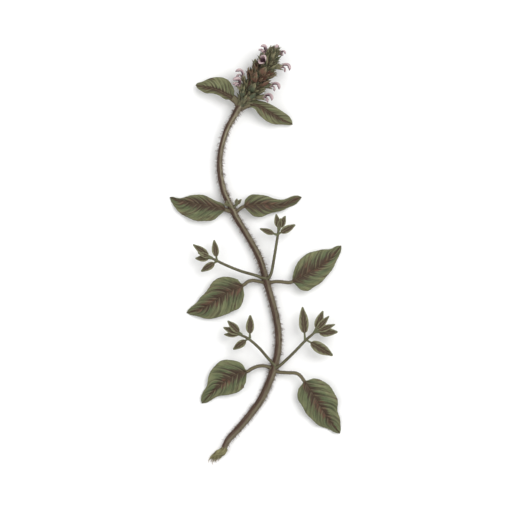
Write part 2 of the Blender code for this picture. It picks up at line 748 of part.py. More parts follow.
def bract(spike, height, distance, bearing):
    """A broad pointed bract that cups a tier's calyces from below."""
    out = spike.outward(bearing)
    across = spike.axis.cross(out)
    size = distance / 5.4
    route = Path([(away * size, up, 0) for away, up in BRACT_ROUTE])
    halves = ((0, 0.28), (0.3, 0.9), (0.55, 1.0), (0.8, 0.62), (0.92, 0.22), (1, 0.08))
    tops, bottoms = [], []
    for share in (0, 0.3, 0.55, 0.8, 1):
        place, heading = route.at(share), route.heading(share)
        centre = spike.foot + spike.axis * (height + place.y) + out * place.x
        face = out * heading.y - spike.axis * heading.x
        half = BRACT_WIDTH / 2 * size * read(halves, share)
        row_top, row_low = [], []
        for v in (-1, -0.4, 0.4, 1):
            point = centre + across * v * half - face * 0.28 * half * v**2
            row_top.append(point + face * SMALL_BLADE / 2)
            row_low.append(point - face * SMALL_BLADE / 2)
        tops.append(row_top)
        bottoms.append(row_low)
    return sheet("bract", tops, bottoms, "spike")


def socket(spike, flower):
    """The room for a corolla's tube, with its clearance."""
    mouth = spike.mouth(flower.height, flower.distance, flower.bearing)
    along, _ = spike.leaning(flower.bearing, flower.tilt)
    path = Path((mouth - along * (2.6 * flower.size + GAP), mouth, mouth + along * 5 * flower.size))
    radius = 0.75 * flower.size + GAP + 0.1
    widening = ((0, 0), (0.25, 0.05), (0.5, 0.45), (0.75, 0.7), (1, 0.9))
    radii = [(share, radius + wider) for share, wider in widening]
    return round_tube("socket", path, radii, 8, 5, "spike")


def make_spike():
    """The green spike: its middle, calyces and bracts joined, with a socket for each corolla."""
    spike = Spike()
    core = Path((spike.foot, spike.foot.lerp(Vector(SPIKE_TIP), 0.5), Vector(SPIKE_TIP)))
    pieces = [round_tube("core", core, CORE_RADIUS, 9, 8, "spike")]
    open_mouths = []
    for flower in FLOWERS:
        mouth = spike.mouth(flower.height, flower.distance, flower.bearing)
        open_mouths.append(mouth)
        size = 0.6 + 0.4 * flower.size
        pieces.append(calyx(mouth, *spike.leaning(flower.bearing, flower.tilt), size))
    for tier, (height, distance, first, tilt) in enumerate(TIERS):
        for k in range(CALYCES_PER_TIER):
            bearing = first + 360 * k / CALYCES_PER_TIER
            stagger = 0.7 if k % 2 else -0.7
            mouth = spike.mouth(height + stagger, distance, bearing)
            if min((mouth - other).length for other in open_mouths) < CLEAR_OF_FLOWER:
                continue
            pieces.append(calyx(mouth, *spike.leaning(bearing, tilt), 0.9))
        for side in (0, 180):
            pieces.append(bract(spike, height, distance, side + (4 if tier % 2 else 86)))
    top = spike.mouth(TOP_CALYX_HEIGHT, 0.4, -90)
    pieces.append(calyx(top, *spike.leaning(-90, 4), 0.8))
    cutters = [socket(spike, flower) for flower in FLOWERS]
    cutters += [leaf_clearance(leaf) for leaf in LEAVES if leaf.name.startswith("leaf_spike")]
    return fuse("flower_spike", pieces, cutters, solver="MANIFOLD")


def ribbon(route, half_widths, place, across, bow, rings):
    """A curled petal: a sheet along a flat route of (out, up) points, bowed across its width."""
    path = Path([(out, up, 0) for out, up in route])
    thickness = SMALL_BLADE / min(across.length, 1)
    tops, bottoms = [], []
    for i in range(rings):
        share = i / (rings - 1)
        centre, heading = path.at(share), path.heading(share)
        normal = Vector((-heading.y, heading.x, 0))
        half = read(half_widths, share)
        row_top, row_low = [], []
        for v in (-1, 0, 1):
            point = centre - normal * bow * half * v**2
            row_top.append(place(point + normal * thickness / 2) + across * half * v)
            row_low.append(place(point - normal * thickness / 2) + across * half * v)
        tops.append(row_top)
        bottoms.append(row_low)
    return sheet("petal", tops, bottoms, "petal")


def make_corolla(spike, index, flower):
    """One corolla: its tube, hood and lower lip, joined, or a closed bud."""
    mouth = spike.mouth(flower.height, flower.distance, flower.bearing)
    along, tipwards = spike.leaning(flower.bearing, flower.tilt)
    across = along.cross(tipwards)
    size = flower.size

    def place(point):
        return mouth + (along * point.x + tipwards * point.y) * size

    route, radius_knots = (BUD, BUD_RADIUS) if flower.bud else (TUBE, TUBE_RADIUS)
    path = Path([place(Vector((out, up, 0))) for out, up in route])
    radii = [(share, radius * size) for share, radius in radius_knots]
    if flower.bud:
        return round_tube(f"corolla_{index:02d}", path, radii, 8, 7, "petal")
    pieces = [
        round_tube("tube", path, radii, 6, 3, "petal"),
        ribbon(HOOD, HOOD_HALF_WIDTH, place, across * size, 0.35, 7),
        ribbon(LIP, LIP_HALF_WIDTH, place, across * size, 0.25, 4),
    ]
    return fuse(f"corolla_{index:02d}", pieces)


def settle(nodes):
    """Moves all nodes so that their box stands centred on the origin, at height 0."""
    corners = [v.co for node in nodes for v in node.data.vertices]
    low = Vector([min(c[k] for c in corners) for k in range(3)])
    high = Vector([max(c[k] for c in corners) for k in range(3)])
    shift = Vector((-(low.x + high.x) / 2, -(low.y + high.y) / 2, -low.z))
    print("shift in mm:", [round(c / MM, 3) for c in shift])
    for node in nodes:
        node.data.transform(Matrix.Translation(shift))


def main():
    """Clears the scene and builds the sprig."""
    for old in list(bpy.data.objects):
        bpy.data.objects.remove(old)
    nodes = [make_stem(), make_root()]
    nodes += [make_leaf(leaf) for leaf in LEAVES]
    nodes += [make_shoot(shoot) for shoot in SHOOTS]
    nodes.append(make_spike())
    spike = Spike()
    nodes += [make_corolla(spike, i, flower) for i, flower in enumerate(FLOWERS, 1)]
    settle(nodes)
    for node in nodes:
        node.data.shade_smooth()
        node.data.set_sharp_from_angle(angle=math.radians(40))


main()
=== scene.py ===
"""Looks of a self-heal sprig in flower, laid flat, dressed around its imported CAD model.

Sizes are in millimetres in the sprig's own drawing frame: X runs across the sprig, Y from its
root to its flower spike, and Z up from the surface. Placement moves them into the row frame.
"""

from __future__ import annotations

import logging
import math
from dataclasses import dataclass, field
from enum import Enum
from typing import Sequence, Union

import bmesh
import bpy
import numpy as np
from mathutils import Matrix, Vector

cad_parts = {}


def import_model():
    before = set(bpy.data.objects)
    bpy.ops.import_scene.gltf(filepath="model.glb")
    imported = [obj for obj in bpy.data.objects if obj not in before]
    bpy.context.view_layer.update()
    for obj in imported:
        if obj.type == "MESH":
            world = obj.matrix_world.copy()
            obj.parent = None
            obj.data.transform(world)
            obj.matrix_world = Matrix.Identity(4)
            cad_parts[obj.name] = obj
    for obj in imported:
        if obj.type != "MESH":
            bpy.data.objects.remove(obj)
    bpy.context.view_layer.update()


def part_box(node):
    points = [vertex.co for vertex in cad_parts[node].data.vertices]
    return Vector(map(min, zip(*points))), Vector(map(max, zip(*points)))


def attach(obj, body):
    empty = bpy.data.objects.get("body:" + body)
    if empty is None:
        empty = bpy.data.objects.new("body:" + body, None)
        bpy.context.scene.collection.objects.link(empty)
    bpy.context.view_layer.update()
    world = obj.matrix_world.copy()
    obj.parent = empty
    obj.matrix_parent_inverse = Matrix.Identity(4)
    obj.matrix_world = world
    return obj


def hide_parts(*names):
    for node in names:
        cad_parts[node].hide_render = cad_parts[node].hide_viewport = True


LOG = logging.getLogger("sprig")
MM = 0.001
UP = np.array((0.0, 0.0, 1.0))
FLOOR_GAP = 0.02

Points = Sequence[Sequence[float]]
Knots = Sequence[tuple[float, float]]
Colour = tuple[float, float, float, float]
Socket = bpy.types.NodeSocket
Feed = Union[Socket, float, Colour]
Material = bpy.types.Material


class Body(Enum):
    """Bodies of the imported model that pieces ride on."""

    SPRIG = "root"


class Stage(Enum):
    """How a flower stands: closed, open and seen from its side, or open towards the viewer."""

    BUD = "bud"
    HOODED = "hooded"
    FACING = "facing"


class Slot(Enum):
    """Material slots of the record."""

    STEM = "stem"
    ROOT = "root"
    LEAF = "leaf"
    SHOOT = "shoot"
    SPIKE = "spike"
    PETAL = "petal"


# Curves and small sums


def unit(vectors: np.ndarray) -> np.ndarray:
    """Vectors scaled to length one along their last axis."""
    return vectors / np.maximum(np.linalg.norm(vectors, axis=-1, keepdims=True), 1e-12)


def ramp(values: np.ndarray, low: float, high: float) -> np.ndarray:
    """A smooth step from 0 at low to 1 at high."""
    t = np.clip((values - low) / (high - low), 0, 1)
    return t * t * (3 - 2 * t)


def hill(away: np.ndarray, width: float | np.ndarray) -> np.ndarray:
    """1 where away is 0, falling smoothly towards 0 past width."""
    return np.exp(-((away / width) ** 2))


def around(sides: int, first: float = 0.0) -> np.ndarray:
    """Angles in radians, spaced evenly round a full turn from a share of the first space."""
    return 2 * np.pi * (np.arange(sides) + first) / sides


def stacked(*parts: float | np.ndarray) -> np.ndarray:
    """Numbers and grids of matching shapes, as the parts of one grid of vectors."""
    return np.stack(np.broadcast_arrays(*parts), axis=-1)


def closed(upper: np.ndarray, lower: np.ndarray) -> np.ndarray:
    """Rows of an upper sheet, each followed by its lower row the other way round."""
    return np.concatenate((upper, lower[:, ::-1]), axis=1)


def crowded_shares(count: int) -> np.ndarray:
    """Shares from 0 to 1 that crowd towards both ends."""
    return (1 - np.cos(np.pi * np.linspace(0, 1, count))) / 2


def smooth_read(knots: Knots, shares: np.ndarray) -> np.ndarray:
    """Values on a smooth line through (share, value) knots.

    Args:
        knots: the shares and values that the line passes through.
        shares: where the line is read.

    Returns:
        The values, in the shape of shares.
    """
    x, y = np.array(knots, float).T
    index = np.arange(len(x))
    low, high = np.maximum(index - 1, 0), np.minimum(index + 1, len(x) - 1)
    slopes = (y[high] - y[low]) / (x[high] - x[low])
    i = np.clip(np.searchsorted(x, shares, side="right"), 1, len(x) - 1)
    span = x[i] - x[i - 1]
    t = np.clip((shares - x[i - 1]) / span, 0, 1)
    return (
        y[i - 1] * (2 * t**3 - 3 * t**2 + 1)
        + slopes[i - 1] * span * (t**3 - 2 * t**2 + t)
        + y[i] * (3 * t**2 - 2 * t**3)
        + slopes[i] * span * (t**3 - t**2)
    )


class Route:
    """A smooth curve through a few points, read by the share of its length."""

    STEPS = 40
    REACH = 0.01

    def __init__(self, points: Points) -> None:
        """Lays the curve.

        Args:
            points: what it passes through, in order.
        """
        knots = np.array(points, float)
        knots = np.vstack((2 * knots[0] - knots[1], knots, 2 * knots[-1] - knots[-2]))
        t = (np.arange(self.STEPS) / self.STEPS)[:, None]
        spans = [
            0.5 * (2 * b + (c - a) * t + (2 * a - 5 * b + 4 * c - d) * t**2 + (3 * b - a - 3 * c + d) * t**3)
            for a, b, c, d in zip(knots, knots[1:], knots[2:], knots[3:])
        ]
        self.points = np.vstack((*spans, knots[-2:-1]))
        steps = np.linalg.norm(np.diff(self.points, axis=0), axis=1)
        self.runs = np.concatenate(([0.0], np.cumsum(steps)))
        self.length = float(self.runs[-1])

    def knot_share(self, index: int) -> float:
        """Share of the length at the point that was given as number index."""
        return float(self.runs[index * self.STEPS] / self.length)

    def at(self, shares: np.ndarray) -> np.ndarray:
        """Points at shares of the length."""
        goal = np.clip(shares, 0, 1) * self.length
        return np.stack([np.interp(goal, self.runs, column) for column in self.points.T], axis=-1)

    def heading(self, shares: np.ndarray) -> np.ndarray:
        """Unit directions of travel at shares of the length."""
        return unit(self.at(shares + self.REACH) - self.at(shares - self.REACH))

    def frames(self, shares: np.ndarray) -> tuple[np.ndarray, np.ndarray, np.ndarray]:
        """Centres on the curve, with the directions to its left and above it.

        Args:
            shares: where the curve is read.

        Returns:
            Three arrays of one vector for each share: centre, left and above.
        """
        heading = self.heading(shares)
        left = unit(np.cross(UP, heading))
        return self.at(shares), left, np.cross(heading, left)

    def spokes(self, shares: np.ndarray, turns: np.ndarray) -> tuple[np.ndarray, np.ndarray]:
        """Centres on the curve, and directions away from it at turns from its top towards its left."""
        centre, left, above = self.frames(shares)
        return centre, left * np.sin(turns)[:, None] + above * np.cos(turns)[:, None]

    def plane(self, shares: np.ndarray) -> tuple[np.ndarray, np.ndarray]:
        """Columns of centres and normals, for a curve that lies in the plane of X and Y."""
        heading = self.heading(shares)[:, None, :]
        return self.at(shares)[:, None, :], stacked(-heading[..., 1], heading[..., 0], 0.0)

    def rings(self, shares: np.ndarray, radii: np.ndarray, turns: np.ndarray) -> np.ndarray:
        """Rings of points round the curve.

        Args:
            shares: where each ring stands.
            radii: the distance of each point from the curve, by ring and side.
            turns: the angle of each side, from the top towards the left.

        Returns:
            The points by ring, side and axis.
        """
        centre, left, above = (grid[:, None, :] for grid in self.frames(shares))
        sideways, up = (radii * np.sin(turns))[..., None], (radii * np.cos(turns))[..., None]
        return centre + left * sideways + above * up


# Meshes


class Skin:
    """Points, faces and named values that become one mesh."""

    # A direction that no hair points along, then each hair's rings as shares of its length and radius
    SLANT = (0.31, 0.17, 1.0)
    HAIR_RINGS = ((-0.15, 1.0), (0.5, 0.62))
    HAIR_SIDES = 3
    TONE_SEED = 5

    def __init__(self) -> None:
        """Starts empty."""
        self.points: list[np.ndarray] = []
        self.faces: list[tuple[int, ...]] = []
        self.values: dict[str, list[np.ndarray]] = {}
        self.count = 0

    def add(
        self, points: np.ndarray, faces: Sequence[tuple[int, ...]], values: dict[str, np.ndarray]
    ) -> None:
        """Adds points with their faces and values.

        Args:
            points: one row of x, y and z for each point.
            faces: point numbers of each face, counted from 0 within points.
            values: for each name, one vector for each point.
        """
        self.points.append(points)
        self.faces += [tuple(i + self.count for i in face) for face in faces]
        for name, value in values.items():
            self.values.setdefault(name, []).append(value)
        self.count += len(points)

    def join(self, other: Skin) -> None:
        """Adds another skin."""
        self.add(np.vstack(other.points), other.faces, {k: np.vstack(v) for k, v in other.values.items()})

    def tube(self, rings: np.ndarray, **values: np.ndarray) -> None:
        """Adds a closed tube through rings of points, with a fan over each end.

        Args:
            rings: points by row, side and axis.
            values: for each name, vectors by row, side and axis, or what spreads to that shape.
        """
        rows, sides = rings.shape[:2]

        def flat(grid: np.ndarray) -> np.ndarray:
            """The grid as a list, with the middles of its first and last rows at its end."""
            grid = np.broadcast_to(grid, rings.shape)
            return np.vstack((grid.reshape(rows * sides, 3), grid[0].mean(axis=0), grid[-1].mean(axis=0)))

        faces = []
        for row in range(rows - 1):
            for k in range(sides):
                a, b = row * sides + k, row * sides + (k + 1) % sides
                faces.append((a, b, b + sides, a + sides))
        last = (rows - 1) * sides
        for k in range(sides):
            after = (k + 1) % sides
            faces += [(after, k, rows * sides), (last + k, last + after, rows * sides + 1)]
        self.add(flat(rings), faces, {name: flat(grid) for name, grid in values.items()})

    def bristles(self, feet: np.ndarray, ways: np.ndarray, lengths: np.ndarray, radii: np.ndarray) -> None:
        """Adds thin hairs that taper to a point.

        Args:
            feet: where each hair stands.
            ways: the unit direction of each hair.
            lengths: the length of each hair.
            radii: the radius at each hair's foot.
        """
        side = unit(np.cross(ways, self.SLANT))
        other = np.cross(ways, side)
        rows = []
        for share, width in self.HAIR_RINGS:
            for turn in around(self.HAIR_SIDES):
                spread = (side * math.cos(turn) + other * math.sin(turn)) * radii[:, None] * width
                rows.append(feet + ways * (lengths * share)[:, None] + spread)
        rows.append(feet + ways * lengths[:, None])
        sides, size = self.HAIR_SIDES, len(rows)
        pattern = [(0, *range(sides - 1, 0, -1))]
        for k in range(sides):
            after = (k + 1) % sides
            pattern += [(k, after, after + sides, k + sides), (k + sides, after + sides, size - 1)]
        faces = [tuple(size * hair + i for i in face) for hair in range(len(feet)) for face in pattern]
        tone = np.repeat(np.random.default_rng(self.TONE_SEED).random(len(feet)), size)
        self.add(np.stack(rows, axis=1).reshape(-1, 3), faces, {"tone": stacked(tone, tone, tone)})


class Fuzz:
    """Fine hairs gathered from several surfaces into one skin."""

    SCATTER = 0.2

    def __init__(self, seed: int, radius: float) -> None:
        """Starts empty.

        Args:
            seed: sets the hairs' scatter.
            radius: the radius at the foot of a middling hair.
        """
        self.draw = np.random.default_rng(seed)
        self.radius = radius
        self.feet: list[np.ndarray] = []
        self.ways: list[np.ndarray] = []

    def add(self, feet: np.ndarray, ways: np.ndarray) -> None:
        """Adds hairs at feet that point about along ways."""
        self.feet.append(feet)
        self.ways.append(unit(ways + self.draw.normal(0, self.SCATTER, ways.shape)))

    def along(self, route: Route, radius: float, end: float, per_mm: float) -> None:
        """Adds hairs on the sides of a thin round stem.

        Args:
            route: the stem's route.
            radius: its radius.
            end: the share of its length at which the hairs end.
            per_mm: how many hairs stand on each millimetre.
        """
        count = int(per_mm * end * route.length)
        shares = self.draw.uniform(0.12 * end, end, count)
        turns = self.draw.choice((-1, 1), count) * self.draw.uniform(0.5, 2.0, count)
        centre, ways = route.spokes(shares, turns)
        self.add(centre + radius * ways, ways)

    def skin(self, shortest: float, longest: float) -> Skin:
        """All the hairs: many short fine ones, and a few that are longer and stouter.

        Args:
            shortest: the length of the shortest hairs.
            longest: the length of the longest ones.

        Returns:
            The hairs as one skin.
        """
        feet, ways = np.vstack(self.feet), np.vstack(self.ways)
        share = self.draw.random(len(feet)) ** 2
        made = Skin()
        made.bristles(feet, ways, shortest + (longest - shortest) * share, self.radius * (0.7 + share))
        return made


@dataclass(frozen=True)
class Placement:
    """Moves drawing points in millimetres into the row frame in metres, and keeps them off the floor."""

    shift: tuple[float, float, float]

    LOWEST = 0.01

    def mesh(self, name: str, skin: Skin) -> bpy.types.Mesh:
        """Makes a mesh from a skin, with its faces turned outwards.

        Args:
            name: the mesh's name.
            skin: the points, faces and values.

        Returns:
            The new mesh, shaded smooth.
        """
        points = (np.vstack(skin.points) + np.array(self.shift)) * MM
        points[:, 2] = np.maximum(points[:, 2], self.LOWEST * MM)
        mesh = bpy.data.meshes.new(name)
        mesh.from_pydata(points.tolist(), [], skin.faces)
        for label, values in skin.values.items():
            attribute = mesh.attributes.new(label, "FLOAT_VECTOR", "POINT")
            attribute.data.foreach_set("vector", np.vstack(values).astype(np.float32).ravel())
        shape = bmesh.new()
        shape.from_mesh(mesh)
        bmesh.ops.recalc_face_normals(shape, faces=shape.faces)
        shape.to_mesh(mesh)
        shape.free()
        mesh.shade_smooth()
        return mesh


@dataclass
class Workshop:
    """Turns skins into pieces that ride on the model, and reports each one."""

    placement: Placement

    def piece(
        self, name: str, skin: Skin, finish: Material, slot: Slot, stands_for: Sequence[str] = ()
    ) -> None:
        """Makes one piece of the sprig, which rides on its body.

        Args:
            name: the piece's name.
            skin: its points, faces and values.
            finish: its material.
            slot: the record's slot, which is only logged.
            stands_for: the CAD nodes that it replaces.
        """
        made = bpy.data.objects.new(name, self.placement.mesh(name, skin))
        bpy.context.scene.collection.objects.link(made)
        made.data.materials.append(finish)
        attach(made, Body.SPRIG.value)
        if stands_for:
            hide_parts(*stands_for)
        LOG.info("%s: %d points, slot %s", name, skin.count, slot.value)


# Finishes


def seen(red: int, green: int, blue: int) -> Colour:
    """A colour as the eye reads it, from 0 to 255 each, as the shader's linear colour."""
    return (*(((c / 255 + 0.055) / 1.055) ** 2.4 for c in (red, green, blue)), 1.0)


class Wiring:
    """Lays the nodes of one material and joins them."""

    GLOSS = 0.25
    VIEWPORT = (0.3, 0.3, 0.2, 1)

    def __init__(self, name: str) -> None:
        """Starts a material with its shader.

        Args:
            name: the material's name.
        """
        self.material = bpy.data.materials.new(name)
        self.material.use_nodes = True
        self.tree = self.material.node_tree
        self.shader = self.tree.nodes["Principled BSDF"]

    def feed(self, node: bpy.types.Node, inputs: dict[str | int, Feed], output: int = 0) -> Socket:
        """Links sockets to a node's inputs, or sets plain values on them.

        Args:
            node: the node.
            inputs: what each input takes.
            output: the number of the output that is wanted.

        Returns:
            That output.
        """
        for key, value in inputs.items():
            if isinstance(value, Socket):
                self.tree.links.new(value, node.inputs[key])
            else:
                node.inputs[key].default_value = value
        return node.outputs[output]

    def values(self, name: str) -> Sequence[Socket]:
        """The three numbers of a mesh attribute."""
        first = self.feed(self.tree.nodes.new("ShaderNodeSeparateXYZ"), {0: self.vector(name)})
        return first.node.outputs

    def vector(self, name: str) -> Socket:
        """Reads a mesh attribute.

        Args:
            name: the attribute's name.

        Returns:
            The whole vector.
        """
        source = self.tree.nodes.new("ShaderNodeAttribute")
        source.attribute_name = name
        return source.outputs["Vector"]

    def sum(self, operation: str, a: Feed, b: Feed) -> Socket:
        """One sum of a Math node.

        Args:
            operation: the sum's name in the node.
            a: its first number.
            b: its second number.

        Returns:
            The result.
        """
        node = self.tree.nodes.new("ShaderNodeMath")
        node.operation = operation
        return self.feed(node, {0: a, 1: b})

    def times(self, value: Socket, gain: Feed) -> Socket:
        """A value times another."""
        return self.sum("MULTIPLY", value, gain)

    def total(self, first: Socket, *others: Socket) -> Socket:
        """Adds values up.

        Args:
            first: the first value.
            others: the further ones.

        Returns:
            Their sum.
        """
        for other in others:
            first = self.sum("ADD", first, other)
        return first

    def swing(self, noise: Socket, gain: float) -> Socket:
        """Noise about 0 instead of about a half, times gain."""
        return self.times(self.sum("SUBTRACT", noise, 0.5), gain)

    def step(self, value: Socket, low: float, high: float, top: float = 1.0) -> Socket:
        """A smooth step.

        Args:
            value: what it follows.
            low: the value where it gives 0.
            high: the value where it gives top.
            top: its highest result.

        Returns:
            The result, from 0 to top.
        """
        node = self.tree.nodes.new("ShaderNodeMapRange")
        node.interpolation_type = "SMOOTHSTEP"
        limits = {"From Min": low, "From Max": high, "To Min": 0.0, "To Max": top}
        return self.feed(node, {"Value": value, **limits})

    def grain(self, along: float, across: float, depth: float = 1.0, detail: float = 3.0) -> Socket:
        """Noise that follows the surface's flow.

        Args:
            along: grains per millimetre along the flow's first axis.
            across: grains per millimetre along its second axis.
            depth: grains per unit of its third axis, which sets pieces apart.
            detail: how many finer layers the noise has.

        Returns:
            The noise, about a half on average.
        """
        mapping = self.tree.nodes.new("ShaderNodeMapping")
        vector = self.feed(mapping, {"Vector": self.vector("flow"), "Scale": (along, across, depth)})
        noise = self.tree.nodes.new("ShaderNodeTexNoise")
        return self.feed(noise, {"Vector": vector, "Scale": 1.0, "Detail": detail})

    def layered(self, colour: Feed, *layers: tuple[Feed, Feed]) -> Socket:
        """A colour with others laid over it.

        Args:
            colour: the lowest colour.
            layers: how strongly each further colour covers, from 0 to 1, and that colour.

        Returns:
            The colour that shows.
        """
        # A colour mix takes its two colours at inputs 6 and 7, and gives the result at output 2
        for amount, tint in layers:
            node = self.tree.nodes.new("ShaderNodeMix")
            node.data_type = "RGBA"
            colour = self.feed(node, {0: amount, 6: colour, 7: tint}, 2)
        return colour

    def done(self, colour: Socket, roughness: float, height: Socket, depth: float) -> Material:
        """Joins the colour and the fine relief to the shader.

        Args:
            colour: the surface's colour.
            roughness: its roughness, the same all over.
            height: the fine relief, from 0 to 1.
            depth: how deep that relief is, in millimetres.

        Returns:
            The finished material.
        """
        bump = self.tree.nodes.new("ShaderNodeBump")
        normal = self.feed(bump, {"Strength": 1.0, "Distance": depth * MM, "Height": height})
        self.feed(self.shader, {"Base Color": colour, "Roughness": roughness, "Normal": normal})
        self.feed(self.shader, {"Specular IOR Level": self.GLOSS})
        self.material.diffuse_color = self.VIEWPORT
        return self.material


@dataclass(frozen=True)
class LeafFinish:
    """Dull sage blade with a brown midrib zone, brown side veins and fine strokes between them, a painted
    highlight beside each side vein and painted shade strokes in the hollows beside them.
    """

    name: str = "leaf_blade"
    pale: Colour = seen(119, 122, 87)
    green: Colour = seen(86, 97, 66)
    # Colour of the painted shade in the hollows beside the side veins.
    deep: Colour = seen(60, 66, 46)
    brown: Colour = seen(64, 47, 36)
    rust: Colour = seen(108, 72, 58)
    dark: Colour = seen(46, 36, 29)
    vein: Colour = seen(136, 129, 98)
    under: Colour = seen(120, 122, 96)
    stalk: Colour = seen(108, 101, 77)
    foot: Colour = seen(74, 58, 47)
    roughness: float = 0.62

    def material(self) -> Material:
        """Wires the blade's colours from its flow, spread, vein and shade values.

        Returns:
            The finished material.
        """
        wiring = Wiring(self.name)
        step = wiring.step
        across, along, under = wiring.values("spread")
        ribs, laterals, blush = wiring.values("vein")
        lit, painted_hollow_shade, tone = wiring.values("shade")
        stroke, flame = wiring.grain(2.6, 0.26), wiring.grain(1.15, 0.17, detail=2.0)
        fine, cloud = wiring.grain(6.5, 0.8, detail=2.0), wiring.grain(0.20, 0.24)
        patch = wiring.grain(0.34, 0.20, 1.3, 2.0)
        pale = wiring.total(step(across, 0.45, 1.0, 0.7), step(cloud, 0.48, 0.68, 0.7), tone)
        shade = wiring.total(painted_hollow_shade, wiring.swing(stroke, 4.5))
        rusty = wiring.times(step(across, 0.55, 0.9, 0.5), step(cloud, 0.52, 0.68))
        brown = wiring.total(blush, wiring.swing(stroke, 1.8), wiring.swing(flame, 2.4), rusty)
        ground = wiring.layered(self.brown, (step(patch, 0.52, 0.66, 0.6), self.rust))
        stalk = wiring.layered(
            self.stalk, (step(across, 0.3, 0.85, 0.9), self.foot), (step(fine, 0.45, 0.7, 0.5), self.dark)
        )
        colour = wiring.layered(
            self.green,
            (pale, self.pale),
            # Painted shade strokes beside the side veins, in the deep colour.
            (step(shade, 0.15, 1.0, 0.75), self.deep),
            (step(fine, 0.48, 0.25, 0.45), self.vein),
            (step(brown, 0.0, 0.95, 0.92), ground),
            (step(fine, 0.5, 0.72, 0.5), self.dark),
            # Painted highlight: a light line beside each side vein, in the vein colour.
            (wiring.times(lit, 0.35), self.vein),
            (wiring.times(laterals, 0.4), self.dark),
            (step(ribs, 0.15, 0.6, 0.8), self.brown),
            (step(ribs, 0.8, 1.0, 0.22), self.vein),
            (step(across, 0.965, 1.0, 0.45), self.dark),
            (wiring.times(under, 0.6), self.under),
            (step(along, 0.025, -0.01), stalk),
        )
        relief = wiring.total(wiring.times(stroke, 0.7), wiring.times(fine, 0.3))
        return wiring.done(colour, self.roughness, relief, 0.10)


@dataclass(frozen=True)
class StemFinish:
    """Herbaceous stem with long streaks, olive green on its lit right side and brown-purple on its left side,
    which is painted shade.
    """

    name: str = "stem_skin"
    # Brown-purple of the stem's left side: painted shade.
    shade: Colour = seen(74, 54, 44)
    # Olive of the stem's lit right side, and that side again, lighter along the upper stretch.
    light: Colour = seen(112, 104, 84)
    upper: Colour = seen(144, 137, 113)
    streak: Colour = seen(62, 47, 40)
    pale: Colour = seen(142, 132, 110)
    roughness: float = 0.6

    def material(self) -> Material:
        """Wires the stem's lit side, its painted shade side and its streaks from its flow and spread values.

        Returns:
            The finished material.
        """
        wiring = Wiring(self.name)
        side, along, _ = wiring.values("spread")
        streak, cloud = wiring.grain(0.12, 2.4, detail=4.0), wiring.grain(0.09, 0.3)
        colour = wiring.layered(
            self.light,
            (wiring.step(along, 0.58, 0.76), self.upper),
            # Painted shade over the stem's left side, with a cloudy edge between the two sides.
            (wiring.step(wiring.total(side, wiring.swing(cloud, 1.6)), -0.45, 0.35), self.shade),
            (wiring.step(streak, 0.5, 0.7, 0.6), self.streak),
            (wiring.step(streak, 0.48, 0.28, 0.4), self.pale),
        )
        return wiring.done(colour, self.roughness, streak, 0.12)


@dataclass(frozen=True)
class ShootFinish:
    """Young leaves and thin stems, sage with brown hollows and pale edges; the stems' paler right side is
    painted light and their darker left side painted shade.
    """

    name: str = "shoot_skin"
    pale: Colour = seen(124, 122, 94)
    green: Colour = seen(96, 99, 72)
    brown: Colour = seen(72, 58, 45)
    roughness: float = 0.62

    def material(self) -> Material:
        """Wires the shoot's colours from its flow, spread and vein values.

        Returns:
            The finished material.
        """
        wiring = Wiring(self.name)
        across, _, under = wiring.values("spread")
        ribs, laterals, blush = wiring.values("vein")
        stroke = wiring.grain(3.2, 0.5)
        brown = wiring.total(blush, wiring.times(laterals, 0.4), wiring.swing(stroke, 1.5))
        colour = wiring.layered(
            self.green,
            # Paler towards the young leaves' margins, and on the stems' right side as painted light.
            (wiring.step(across, 0.3, 1.0), self.pale),
            (wiring.step(brown, 0.3, 0.9), self.brown),
            (wiring.step(ribs, 0.4, 1.0, 0.6), self.pale),
            (wiring.times(under, 0.4), self.pale),
        )
        return wiring.done(colour, self.roughness, stroke, 0.08)


@dataclass(frozen=True)
class SpikeFinish:
    """Calyces and bracts, olive to dark green, reddish brown towards their foot and between ribs."""

    name: str = "spike_green"
    green: Colour = seen(116, 113, 84)
    deep: Colour = seen(60, 54, 41)
    cool: Colour = seen(62, 76, 58)
    red: Colour = seen(104, 68, 56)
    tip: Colour = seen(146, 141, 112)
    roughness: float = 0.65

    def material(self) -> Material:
        """Wires the head's colours from its flow and spread values.

        Returns:
            The finished material.
        """
        wiring = Wiring(self.name)
        along, rib, tier = wiring.values("spread")
        stroke, cloud = wiring.grain(0.35, 2.8), wiring.grain(0.14, 0.14, 0.9)
        patch = wiring.grain(0.1, 0.1, 2.3)
        red = wiring.total(wiring.swing(cloud, 2.4), wiring.times(tier, 0.7))
        colour = wiring.layered(
            self.deep,
            (wiring.step(along, 0.05, 0.85), self.green),
            (wiring.step(tier, -0.05, -0.7, 0.5), self.tip),
            (wiring.step(patch, 0.48, 0.58, 0.8), self.cool),
            (wiring.step(red, 0.2, 0.65, 0.85), self.red),
            (wiring.step(stroke, 0.48, 0.64, 0.85), self.deep),
            (wiring.step(rib, 0.5, 1.0, 0.6), self.tip),
            (wiring.step(along, 0.78, 1.0, 0.7), self.tip),
        )
        return wiring.done(colour, self.roughness, stroke, 0.1)


